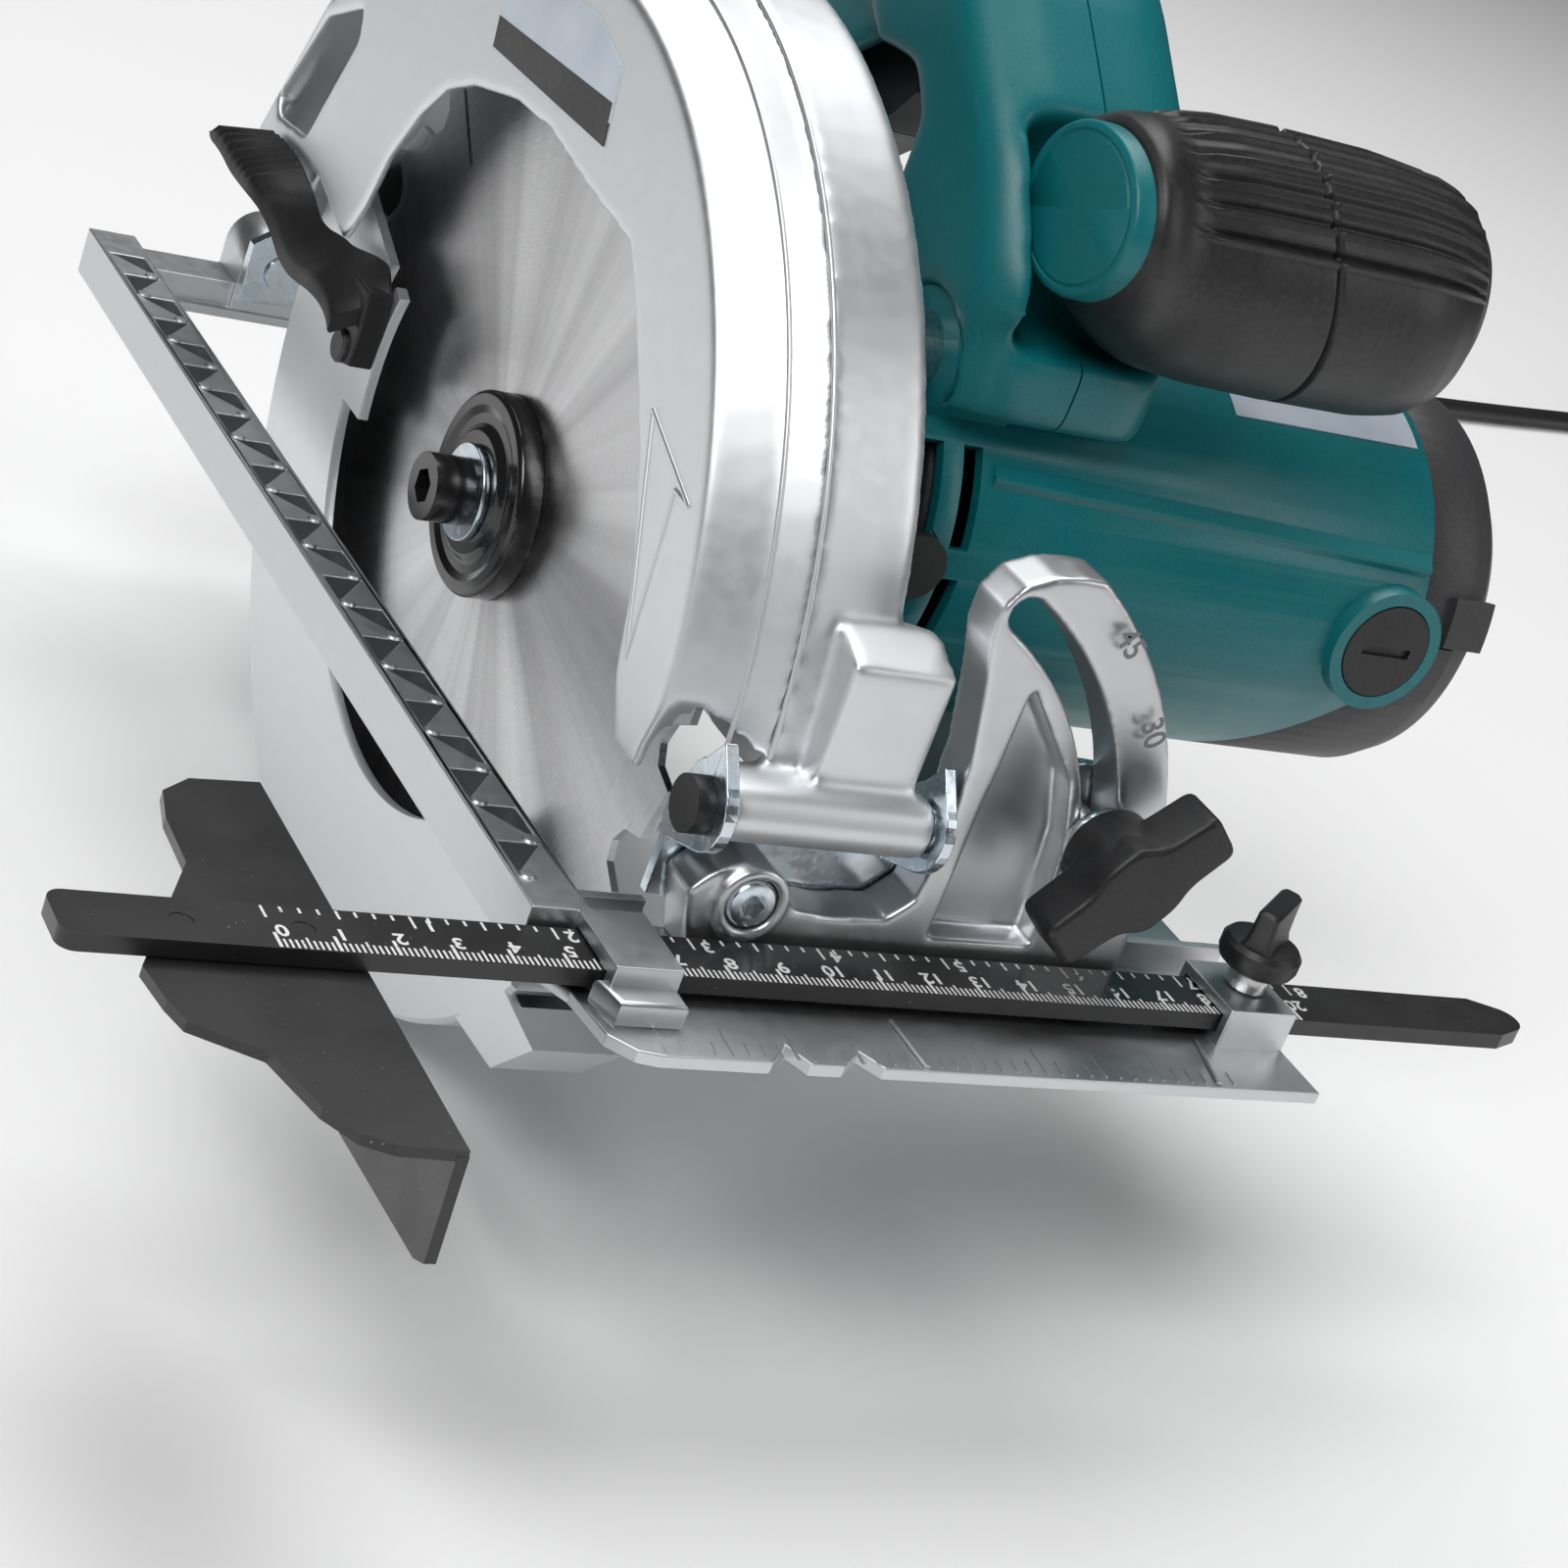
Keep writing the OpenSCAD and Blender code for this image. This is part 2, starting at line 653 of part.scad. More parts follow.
// A gear along X: straight-sided teeth, cut back a little for backlash
module gear(teeth, x0, x1, bore, phase) {
  pitch_r = gear_module * teeth / 2;
  root = pitch_r - 1.15;
  tip = pitch_r + 0.72;
  step = 360 / teeth;
  side_plate(x0, x1) difference() {
    polygon([
      for (i = [0:teeth - 1]) for (k = [[root, -0.27], [tip, -0.12], [tip, 0.12], [root, 0.27]])
        polar(k[0], phase + (i + k[1]) * step)
    ]);
    if (bore > 0) circle(r = bore, $fn = 96);
  }
}

module rotor_shaft() color(steel) place() {
  rod_x(33, 186, shaft_r, rotor_y, rotor_z);
  translate([0, rotor_y, rotor_z])
    gear(pinion_teeth, gear_x - 1, 33, 0, rotor_dir + 180 + 180 / pinion_teeth);
}

module drive_gear() color(steel) place()
  translate([0, 0, axle_z]) gear(gear_teeth, gear_x, gear_x + gear_w, 8, rotor_dir);

module ring_x(x0, x1, outer, inner, y, z) difference() {
  rod_x(x0, x1, outer, y, z);
  rod_x(x0 - 1, x1 + 1, inner, y, z);
}

module bearing_front() color(steel) place() ring_x(10.3, 19, 16, 8 + running, 0, axle_z);

module bearing_rear() color(steel) place() ring_x(33, 41, 14, 6 + running, 0, axle_z);

module rotor_bearing_front() color(steel) place()
  ring_x(34, 43, 13, shaft_r + running, rotor_y, rotor_z);

module rotor_bearing_rear() color(steel) place()
  ring_x(178.5, 186.5, 11, shaft_r + running, rotor_y, rotor_z);

module brush(y0, y1) translate([161.5, y0, rotor_z - 3]) cube([8, y1 - y0, 6]);

module brush_front() color("dimgray") place()
  brush(rotor_y - motor_r - 0.5, rotor_y - 12.4);

module brush_rear() color("dimgray") place()
  brush(rotor_y + 12.4, rotor_y + motor_r + 0.5);

module brush_cap(y0, y1, slot_y) difference() {
  rod_y(y0, y1, 10, 165.5, rotor_z);
  translate([165.5 - 6, slot_y - 0.8, rotor_z - 1]) cube([12, 1.6, 2]);
}

module brush_cap_front() color(black) place()
  brush_cap(rotor_y - motor_r - 2.6, rotor_y - motor_r - 0.5, rotor_y - motor_r - 2.6);

module brush_cap_rear() color(black) place()
  brush_cap(rotor_y + motor_r + 0.5, rotor_y + motor_r + 2.6, rotor_y + motor_r + 2.6);

module spindle_lock() color(black) place() {
  rod_y(rotor_y - motor_r - 1.5, rotor_y - motor_r + 3, 4.9, 50.7, 55);
  rod_y(rotor_y - motor_r - 3.5, rotor_y - motor_r - 0.9, 6.5, 50.7, 55);
}

// Lower guard

module lower_sector() {
  polygon(concat([[0, axle_z]], arc(125, 216, 380, 24, [0, axle_z])));
}

module thumb_edge() {
  polygon([[20, axle_z - 10], [20, 44], [44, 52], [53, 49], [57, 38], [70, 38], [70, 20]]);
}

module lower_guard() color(cast) place() difference() {
  union() {
    intersection() {
      turn_x([
        [hub_r + 6, 7], [lower_r - wall, 7], [lower_r - wall, wall - lower_x], [53, wall - lower_x],
        [53, -lower_x], [lower_r - 1, -lower_x], [lower_r, 1 - lower_x], [lower_r, 8],
        [lower_r - 1, 9], [hub_r + 6, 9]
      ]);
      side_plate(-12, 12) lower_sector();
    }
    rod_x(7, 9, hub_r + 6.5, 0, axle_z);
    side_plate(-lower_x, lower_x - 0.3) polygon([[-78, -32], [-96, -34], [-84, -46], [-66, -47]]);
  }
  rod_x(6, 10, hub_r + running, 0, axle_z);
  rod_x(wall - lower_x, 7, lower_r - wall, 0, axle_z);
  side_plate(-lower_x + 2, lower_x - 2.3) polygon([[-70, -28], [-92.5, -35.5], [-82.5, -43.5], [-60, -44]]);
  difference() {
    rod_x(-10, wall - lower_x + 0.5, 63, 0, axle_z);
    side_plate(-11, 0) thumb_edge();
  }
}

// The lever's outline, with its underside at height low so that it clears the tilted sole
module lever_outline(low) {
  polygon([
    [45, 41], [47, 54], [61, 55], [73, 53.5], [90, 54], [106, 56.6], [118, 55], [148, 46], [150, 41],
    [132, 38], [110, low], [52, low]
  ]);
}

module guard_lever() color(rubber) place() {
  side_plate(-17, -14.6) lever_outline(32.4);
  side_plate(-20, -17) lever_outline(35.6);
  side_plate(-14.7, -lower_x) polygon([[45, 41], [47, 52], [55, 53], [57, 44], [56, 34], [50, 34]]);
}

// Return spring round the guard's hub, as a flat ring
module guard_spring() color(zinc) place()
  ring_x(9.3, 10.9, hub_r + 3, hub_r + 0.3, 0, axle_z);

// Spindle and blade

module spindle() color(steel) place() difference() {
  union() {
    rod_x(-3, 6.2, 6, 0, axle_z);
    rod_x(6.2, 33, 8, 0, axle_z);
    rod_x(33, 41, 6, 0, axle_z);
  }
  rod_x(-4, 16, 4.05, 0, axle_z);
}

module inner_flange() color(steel) place() difference() {
  union() {
    rod_x(blade_t / 2, 5.8, flange_r, 0, axle_z);
    rod_x(0.1 - blade_t / 2, 1, 9.98, 0, axle_z);
  }
  rod_x(-2, 7, 6, 0, axle_z);
}

// Blade: raked teeth with round gullets and three narrow relief slots
module saw_blade() color("lightgray") place() {
  rim = blade_d / 2;
  gullet = rim - 8;
  tip_angle = 6;
  step = 360 / blade_teeth;
  translate([0, 0, axle_z]) side_plate(-blade_t / 2, blade_t / 2) difference() {
    polygon([
      for (i = [0:blade_teeth - 1])
        let (a = tip_angle + i * step)
          for (k = [[rim - 1.2, 0.52], [gullet + 1.5, 0.4], [gullet, 0.2], [rim - 6, 0.05], [rim, 0]])
            polar(k[0], a - k[1] * step)
    ]);
    circle(r = 10, $fn = 96);
    for (i = [0:2]) rotate(40 + i * 120) translate([72, -0.6]) square([20, 1.2]);
  }
}

module outer_flange() color(black) place() difference() {
  turn_x([
    [4.2, -6.75], [12, -6.75], [13.5, -5.4], [15.5, -5.4], [17, -6], [flange_r - 0.8, -6],
    [flange_r, -5.2], [flange_r, -blade_t / 2], [6.05, -blade_t / 2], [6.05, -3.2], [4.2, -3.2]
  ]);
}

module blade_washer() color(zinc) place() ring_x(-8.35, -6.75, 9.5, 4.2, 0, axle_z);

module blade_bolt() color(black) place() difference() {
  union() {
    rod_x(-16.5, -8.35, 6.6, 0, axle_z);
    rod_x(-8.4, 14, 4, 0, axle_z);
  }
  translate([-17, 0, axle_z]) rotate([0, 90, 0]) cylinder(h = 5.5, r = 3.6, $fn = 6);
}

// Depth clamp

module clamp_place()
  translate([0, depth_y + bar_arc_r * cos(clamp_angle), depth_z + bar_arc_r * sin(clamp_angle)])
    children();

module depth_clamp() color(steel) place() clamp_place() {
  rod_x(10.5, 34, 3, 0, 0);
  rod_x(9.4, 11, 5, 0, 0);
}

module depth_lever() color(rubber) place() clamp_place() difference() {
  union() {
    rod_x(28.5, 36, 8, 0, 0);
    side_plate(31, 36) polygon([[-5, 5], [4, 7], [34, 22], [38, 18], [36, 12], [6, -6]]);
  }
  rod_x(28, 34.2, 3 + running, 0, 0);
}

// Cord: a tube swept along its route, the wound-up rest and the plug

module tube(points, radius, sides) {
  last = len(points) - 1;
  rings = [
    for (i = [0:last])
      let (
        ahead = points[min(i + 1, last)] - points[max(i - 1, 0)],
        along = ahead / norm(ahead),
        across = cross(along, [0, 0, 1]) / norm(cross(along, [0, 0, 1])),
        up = cross(across, along)
      )
        for (k = [0:sides - 1])
          points[i] + radius * (cos(k * 360 / sides) * across + sin(k * 360 / sides) * up)
  ];
  walls = [
    for (i = [0:last - 1]) for (k = [0:sides - 1])
      [
        i * sides + k, i * sides + (k + 1) % sides, (i + 1) * sides + (k + 1) % sides,
        (i + 1) * sides + k
      ]
  ];
  caps = [
    [for (k = [sides - 1:-1:0]) k],
    [for (k = [0:sides - 1]) last * sides + k]
  ];
  polyhedron(points = rings, faces = concat(walls, caps), convexity = 6);
}

// A smooth curve through four neighbouring route points
function spline(a, b, c, d, t) =
  0.5 * (2 * b + (c - a) * t + (2 * a - 5 * b + 4 * c - d) * t * t + (3 * b - a - 3 * c + d) * t * t * t);

function smooth(p, n) = [
  for (i = [0:len(p) - 2]) for (k = [0:n - 1])
    spline(p[max(i - 1, 0)], p[i], p[i + 1], p[min(i + 2, len(p) - 1)], k / n),
  p[len(p) - 1]
];

module cord_lead() color(black) place() tube(smooth(cord_route, 3), cord_d / 2, 8);

module cord_coil() color(black) place()
  translate([coil_x, coil_y, floor_z]) rotate_extrude($fn = 96)
    translate([coil_r - cord_d, 0]) square([2 * cord_d, coil_layers * cord_d]);

module cord_plug() color(black) place()
  translate([coil_x + coil_r + cord_d / 2, 429, floor_z + 1.5 * cord_d]) {
    translate([0, 0, 0]) rotate([90, 0, 0]) cylinder(h = 24, r1 = cord_d / 2, r2 = 6, $fn = 48);
    translate([-15, -58, -10.5]) cube([30, 35, 21]);
    for (x = [-9.5, 9.5]) translate([x, -57, 0]) rotate([90, 0, 0]) cylinder(h = 20, r = 2.4, $fn = 48);
  }

base_plate();
bevel_quadrant();
front_pivot_screw();
rear_pivot_screw();
guide_bar();
guide_fence();
fence_rivets();
guide_screw();
guide_wing();
front_bracket();
depth_pin();
pin_cap();
bevel_bolt();
depth_bar();
rear_bracket();
bevel_wing();
bevel_washer();
guard_cover();
gear_housing();
motor_housing();
end_cap();
handle_left();
handle_right();
handle_grip();
front_handle();
front_grip();
stator();
brush_front();
brush_rear();
brush_cap_front();
brush_cap_rear();
bearing_front();
bearing_rear();
rotor_bearing_front();
rotor_bearing_rear();
switch_block();
housing_standoff();
depth_clamp();
strain_relief();
lower_guard();
guard_lever();
guard_spring();
spindle();
drive_gear();
inner_flange();
saw_blade();
outer_flange();
blade_washer();
blade_bolt();
rotor_shaft();
rotor_core();
commutator();
fan();
trigger();
lock_button();
spindle_lock();
depth_lever();
cord_lead();
cord_coil();
cord_plug();
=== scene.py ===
import json
import math

import bmesh
import bpy
from mathutils import Matrix, Vector


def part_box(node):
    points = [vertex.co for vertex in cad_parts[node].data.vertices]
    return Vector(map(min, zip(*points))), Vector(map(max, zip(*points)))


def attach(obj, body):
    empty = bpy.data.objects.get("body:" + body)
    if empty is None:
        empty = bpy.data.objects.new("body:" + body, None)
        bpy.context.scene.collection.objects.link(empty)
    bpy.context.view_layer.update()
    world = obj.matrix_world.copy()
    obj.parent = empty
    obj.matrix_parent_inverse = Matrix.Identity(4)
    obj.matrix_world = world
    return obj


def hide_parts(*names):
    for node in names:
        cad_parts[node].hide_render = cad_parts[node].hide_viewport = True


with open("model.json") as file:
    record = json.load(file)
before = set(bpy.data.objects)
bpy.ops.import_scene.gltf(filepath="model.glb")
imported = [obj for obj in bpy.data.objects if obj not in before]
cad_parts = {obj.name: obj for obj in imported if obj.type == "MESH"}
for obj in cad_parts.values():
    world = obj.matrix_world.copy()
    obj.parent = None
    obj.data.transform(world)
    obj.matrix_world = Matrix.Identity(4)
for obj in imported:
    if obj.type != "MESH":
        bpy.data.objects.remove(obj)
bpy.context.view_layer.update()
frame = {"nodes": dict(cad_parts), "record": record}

MM = 0.001
NODES = frame["nodes"]
BODY_OF = {n: b for b, ns in frame["record"]["behaviour"]["bodies"].items() for n in ns}
SLOT_OF = {s["node"]: s["material_slot"] for s in frame["record"]["subparts"]}

# The blade axes: x = 0 is the blade's middle plane and y = 0 its axle, with z = 0 on the sole.
BLADE_LO, BLADE_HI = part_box("saw_blade")
ORIGIN = Vector(((BLADE_LO.x + BLADE_HI.x) / 2, (BLADE_LO.y + BLADE_HI.y) / 2, 0))
AXLE_Z = round((BLADE_LO.z + BLADE_HI.z) / 2 / MM, 2)


def at(x, y, z):
    """A point given in millimetres in the blade axes, as metres in the row frame."""
    return ORIGIN + Vector((x, y, z)) * MM


# Camera


def make_camera():
    data = bpy.data.cameras.new("camera")
    data.lens = 78.61
    data.sensor_width = 36
    data.clip_start = 0.01
    data.clip_end = 20
    cam = bpy.data.objects.new("camera", data)
    right = Vector((0.85278973, -0.40499548, 0.3297398))
    up = Vector((-0.09092512, 0.506599, 0.85737394))
    back = Vector((-0.51427842, -0.76114133, 0.39519816))
    turn = Matrix((right, up, back)).transposed().to_4x4()
    cam.matrix_world = Matrix.Translation(at(-286.35, -549.76, 259.58)) @ turn
    bpy.context.scene.collection.objects.link(cam)
    bpy.context.scene.camera = cam


make_camera()

# Mesh helpers


def link(name, mesh, body):
    obj = bpy.data.objects.new(name, mesh)
    bpy.context.scene.collection.objects.link(obj)
    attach(obj, body)
    return obj


def finish_piece(obj, material, stands_for=()):
    obj.data.materials.clear()
    obj.data.materials.append(material)
    if stands_for:
        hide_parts(*stands_for)
    return obj


def smooth_shade(obj, angle=math.radians(32)):
    """Smooth faces with sharp edges kept above the angle."""
    mesh = obj.data
    mesh.shade_smooth()
    mesh.set_sharp_from_angle(angle=angle)


def add_bevel(obj, width):
    mod = obj.modifiers.new("bevel", "BEVEL")
    mod.width = width * MM
    mod.segments = 2
    mod.limit_method = "ANGLE"
    mod.angle_limit = math.radians(30)
    mod.harden_normals = True


def new_mesh(name, verts, faces):
    mesh = bpy.data.meshes.new(name)
    mesh.from_pydata([tuple(v) for v in verts], [], faces)
    bm = bmesh.new()
    bm.from_mesh(mesh)
    bmesh.ops.remove_doubles(bm, verts=bm.verts, dist=0.00002)
    bmesh.ops.recalc_face_normals(bm, faces=bm.faces)
    bm.to_mesh(mesh)
    bm.free()
    mesh.validate()
    return mesh


def loft(name, rings, body, closed_ends=True, smooth=32):
    """A skin over rings of points in the blade axes; every ring has the same number of points."""
    verts = [at(*p) for ring in rings for p in ring]
    n = len(rings[0])
    faces = []
    for i in range(len(rings) - 1):
        for k in range(n):
            a, b = i * n + k, i * n + (k + 1) % n
            faces.append((a, b, b + n, a + n))
    if closed_ends:
        faces.append(tuple(range(n - 1, -1, -1)))
        faces.append(tuple((len(rings) - 1) * n + k for k in range(n)))
    obj = link(name, new_mesh(name, verts, faces), body)
    smooth_shade(obj, math.radians(smooth))
    return obj


def lathe_x(name, profile, y, z, body, steps=128, smooth=32):
    """A solid turned about an axis along X through (y, z); profile points are (radius, x)."""
    rings = []
    for r, x in profile:
        ring = []
        for k in range(steps):
            a = 2 * math.pi * k / steps
            ring.append((x, y + r * math.cos(a), z + r * math.sin(a)))
        rings.append(ring)
    return loft(name, rings, body, smooth=smooth)


def lathe_y(name, profile, x, z, body, steps=96, smooth=32):
    """A solid turned about an axis along Y through (x, z); profile points are (radius, y)."""
    rings = []
    for r, y in profile:
        ring = []
        for k in range(steps):
            a = 2 * math.pi * k / steps
            ring.append((x + r * math.cos(a), y, z + r * math.sin(a)))
        rings.append(ring)
    return loft(name, rings, body, smooth=smooth)


def lathe_z(name, profile, x, y, body, steps=96, smooth=32):
    """A solid turned about an axis along Z through (x, y); profile points are (radius, z)."""
    rings = []
    for r, z in profile:
        ring = []
        for k in range(steps):
            a = 2 * math.pi * k / steps
            ring.append((x + r * math.cos(a), y + r * math.sin(a), z))
        rings.append(ring)
    return loft(name, rings, body, smooth=smooth)


def tube(name, line, radius, body, sides=8):
    """A round tube along a line of points in the blade axes; its rings turn with the line."""
    line = [Vector(p) for p in line]
    across = Vector((0.3, 0.2, 1)).cross(line[1] - line[0]).normalized()
    rings = []
    for i, place in enumerate(line):
        ahead = (line[min(i + 1, len(line) - 1)] - line[max(i - 1, 0)]).normalized()
        across = (across - ahead * across.dot(ahead)).normalized()
        other = ahead.cross(across)
        ring = []
        for k in range(sides):
            a = 2 * math.pi * k / sides
            ring.append(tuple(place + (across * math.cos(a) + other * math.sin(a)) * radius))
        rings.append(ring)
    return loft(name, rings, body, smooth=60)


def rounded(points, times=3):
    """Chaikin's corner cutting on a closed outline."""
    for _ in range(times):
        cut = []
        for i, p in enumerate(points):
            q = points[(i + 1) % len(points)]
            cut.append(tuple(0.75 * a + 0.25 * b for a, b in zip(p, q)))
            cut.append(tuple(0.25 * a + 0.75 * b for a, b in zip(p, q)))
        points = cut
    return points


def filleted(points, reach, steps=4):
    """A closed outline whose corners are rounded over the given reach along each side."""
    out = []
    n = len(points)
    for i in range(n):
        a, b, c = (Vector(points[(i + k) % n]) for k in (-1, 0, 1))
        before = b + (a - b).normalized() * min(reach, (a - b).length * 0.45)
        after = b + (c - b).normalized() * min(reach, (c - b).length * 0.45)
        for k in range(steps + 1):
            t = k / steps
            out.append(tuple(before * (1 - t) ** 2 + b * 2 * t * (1 - t) + after * t * t))
    return out


def inset(points, amount):
    """A closed 2D outline moved inwards along its corner normals."""
    area = sum(p[0] * q[1] - q[0] * p[1] for p, q in zip(points, points[1:] + points[:1]))
    sign = 1 if area > 0 else -1
    moved = []
    n = len(points)
    for i in range(n):
        a, b, c = points[i - 1], points[i], points[(i + 1) % n]
        e1 = Vector((b[0] - a[0], b[1] - a[1])).normalized()
        e2 = Vector((c[0] - b[0], c[1] - b[1])).normalized()
        n1, n2 = Vector((-e1.y, e1.x)), Vector((-e2.y, e2.x))
        mid = (n1 + n2).normalized() if (n1 + n2).length > 1e-6 else n1
        scale = 1 / max(0.5, mid.dot(n1))
        moved.append((b[0] + sign * mid.x * amount * scale, b[1] + sign * mid.y * amount * scale))
    return moved


def pillow(name, outline, lo, hi, radius, body, axis="x", steps=6, smooth=40):
    """A slab over an outline in the other two axes, with round edges of the given radius."""
    arc = [math.pi / 2 * (1 - i / steps) for i in range(steps + 1)]
    levels = [(lo + radius * (1 - math.sin(t)), radius * (1 - math.cos(t))) for t in arc]
    top = [(hi - (level - lo), off) for level, off in reversed(levels)]
    rings = []
    for level, off in levels + top:
        ring = inset(outline, off) if off > 1e-6 else outline
        if axis == "x":
            rings.append([(level, p[0], p[1]) for p in ring])
        elif axis == "y":
            rings.append([(p[0], level, p[1]) for p in ring])
        else:
            rings.append([(p[0], p[1], level) for p in ring])
    return loft(name, rings, body, smooth=smooth)


# Material helpers


class Shader:
    """A principled material with a few short helpers for its nodes."""

    def __init__(self, name, color, rough, metal=0.0):
        self.mat = bpy.data.materials.new(name)
        self.mat.use_nodes = True
        self.nodes = self.mat.node_tree.nodes
        self.links = self.mat.node_tree.links
        self.bsdf = self.nodes["Principled BSDF"]
        self.bsdf.inputs["Base Color"].default_value = (*color, 1)
        self.bsdf.inputs["Roughness"].default_value = rough
        self.bsdf.inputs["Metallic"].default_value = metal
        self.coords = self.nodes.new("ShaderNodeTexCoord").outputs["Object"]

    def node(self, kind, **inputs):
        made = self.nodes.new("ShaderNode" + kind)
        for key, value in inputs.items():
            made.inputs[key].default_value = value
        return made

    def noise(self, scale, detail=4.0, stretch=None, rough=0.5):
        """Noise of about scale features to the metre."""
        made = self.node("TexNoise", Scale=scale, Detail=detail, Roughness=rough)
        source = self.coords
        if stretch:
            mapping = self.node("Mapping")
            mapping.inputs["Scale"].default_value = stretch
            self.links.new(source, mapping.inputs["Vector"])
            source = mapping.outputs["Vector"]
        self.links.new(source, made.inputs["Vector"])
        return made.outputs["Fac"]

    def ramp(self, value, low, high, out_low, out_high):
        made = self.nodes.new("ShaderNodeMapRange")
        self.links.new(value, made.inputs["Value"])
        for key, number in (("From Min", low), ("From Max", high), ("To Min", out_low), ("To Max", out_high)):
            made.inputs[key].default_value = number
        return made.outputs["Result"]

    def mix(self, factor, a, b):
        made = self.nodes.new("ShaderNodeMix")
        made.data_type = "RGBA"
        for socket, value in ((made.inputs[6], a), (made.inputs[7], b)):
            if hasattr(value, "links"):
                self.links.new(value, socket)
            else:
                socket.default_value = (*value, 1)
        if hasattr(factor, "links"):
            self.links.new(factor, made.inputs[0])
        else:
            made.inputs[0].default_value = factor
        return made.outputs[2]

    def math(self, operation, a, b=0.0):
        made = self.nodes.new("ShaderNodeMath")
        made.operation = operation
        for socket, value in zip(made.inputs, (a, b)):
            if hasattr(value, "links"):
                self.links.new(value, socket)
            else:
                socket.default_value = value
        return made.outputs[0]

    def color(self, value):
        self.links.new(value, self.bsdf.inputs["Base Color"])

    def rough(self, value):
        self.links.new(value, self.bsdf.inputs["Roughness"])

    def bump(self, value, strength, depth_mm):
        made = self.node("Bump", Strength=strength, Distance=depth_mm * MM)
        self.links.new(value, made.inputs["Height"])
        before = self.bsdf.inputs["Normal"]
        if before.is_linked:
            self.links.new(before.links[0].from_socket, made.inputs["Normal"])
        self.links.new(made.outputs["Normal"], before)


def cast_metal(name, color, rough, patches=0.05):
    s = Shader(name, color, rough, 1.0)
    broad = s.noise(22, 3)
    dark = tuple(c * (1 - patches * 2) for c in color)
    s.color(s.mix(s.ramp(broad, 0.3, 0.7, 0, 1), dark, color))
    fine = s.noise(350, 2)
    grain = s.ramp(fine, 0.3, 0.7, rough - 0.02, rough + 0.03)
    s.rough(s.math("ADD", grain, s.ramp(broad, 0.3, 0.7, -0.02, 0.02)))
    s.bump(s.noise(60, 2), 0.12, 0.1)
    return s.mat


def plated(name, color, rough):
    s = Shader(name, color, rough, 1.0)
    tint = s.noise(90, 3)
    s.color(s.mix(s.ramp(tint, 0.35, 0.65, 0, 1), color, (color[0] * 0.86, color[1] * 0.93, color[2])))
    s.rough(s.ramp(s.noise(700, 2), 0.3, 0.7, rough * 0.7, rough * 1.4))
    s.bump(s.noise(120, 2), 0.2, 0.06)
    return s.mat


def moulded(name, color, light, rough, grain=0.25, size=1500):
    s = Shader(name, color, rough)
    s.bsdf.inputs["Specular IOR Level"].default_value = 0.5
    speckle = s.noise(size, 2)
    s.color(s.mix(s.ramp(speckle, 0.3, 0.75, 0, 1), color, light))
    s.rough(s.ramp(s.noise(60, 3), 0.3, 0.7, rough - 0.04, rough + 0.06))
    s.bump(speckle, grain, 0.06)
    return s.mat


def painted(name, color, rough):
    s = Shader(name, color, rough)
    s.bsdf.inputs["Coat Weight"].default_value = 0.3
    s.bsdf.inputs["Coat Roughness"].default_value = 0.15
    # Light grey flecks mixed into the black paint colour are painted glints.
    painted_glints = s.noise(1500, 1)
    s.color(s.mix(s.ramp(painted_glints, 0.76, 0.79, 0, 1), color, (0.25, 0.25, 0.25)))
    s.rough(s.ramp(s.noise(80, 3), 0.3, 0.7, rough - 0.05, rough + 0.08))
    s.bump(s.noise(500, 3), 0.15, 0.05)
    return s.mat


def ground_blade(name):
    """Steel ground in fine arcs, so that its highlights fan out from the axle; lighter and darker rays round
    the axle are also painted into its colour as painted highlights.
    """
    s = Shader(name, (0.62, 0.62, 0.62), 0.26, 1.0)
    split = s.node("SeparateXYZ")
    s.links.new(s.coords, split.inputs[0])
    y = s.math("SUBTRACT", split.outputs["Y"], ORIGIN.y)
    z = s.math("SUBTRACT", split.outputs["Z"], AXLE_Z * MM)
    radius = s.math("SQRT", s.math("ADD", s.math("MULTIPLY", y, y), s.math("MULTIPLY", z, z)))
    angle = s.math("ARCTAN2", z, y)
    join = s.node("CombineXYZ")
    s.links.new(s.math("MULTIPLY", radius, 9000.0), join.inputs["X"])
    s.links.new(s.math("MULTIPLY", angle, 14.0), join.inputs["Y"])
    rings = s.node("TexNoise", Scale=1.0, Detail=2.0)
    s.links.new(join.outputs[0], rings.inputs["Vector"])
    fan = s.node("CombineXYZ")
    s.links.new(s.math("COSINE", angle), fan.inputs["X"])
    s.links.new(s.math("SINE", angle), fan.inputs["Y"])
    # Painted highlight rays: lighter and darker sectors round the axle, painted into the steel's colour.
    painted_highlight_rays = s.node("TexNoise", Scale=3.5, Detail=5.0)
    s.links.new(fan.outputs[0], painted_highlight_rays.inputs["Vector"])
    s.color(s.mix(s.ramp(painted_highlight_rays.outputs["Fac"], 0.32, 0.66, 0, 1), (0.40, 0.40, 0.41), (0.68, 0.68, 0.69)))
    s.rough(s.ramp(rings.outputs["Fac"], 0.3, 0.7, 0.24, 0.36))
    s.bump(rings.outputs["Fac"], 0.2, 0.02)
    s.bsdf.inputs["Anisotropic"].default_value = 0.85
    tangent = s.nodes.new("ShaderNodeTangent")
    tangent.direction_type = "RADIAL"
    tangent.axis = "X"
    s.links.new(tangent.outputs[0], s.bsdf.inputs["Tangent"])
    return s.mat


def bare_steel(name, color=(0.6, 0.6, 0.6), rough=0.3):
    s = Shader(name, color, rough, 1.0)
    turned = s.noise(500, 3, stretch=(8, 1, 1))
    s.rough(s.ramp(turned, 0.3, 0.7, rough * 0.7, rough * 1.4))
    s.bump(turned, 0.2, 0.03)
    return s.mat


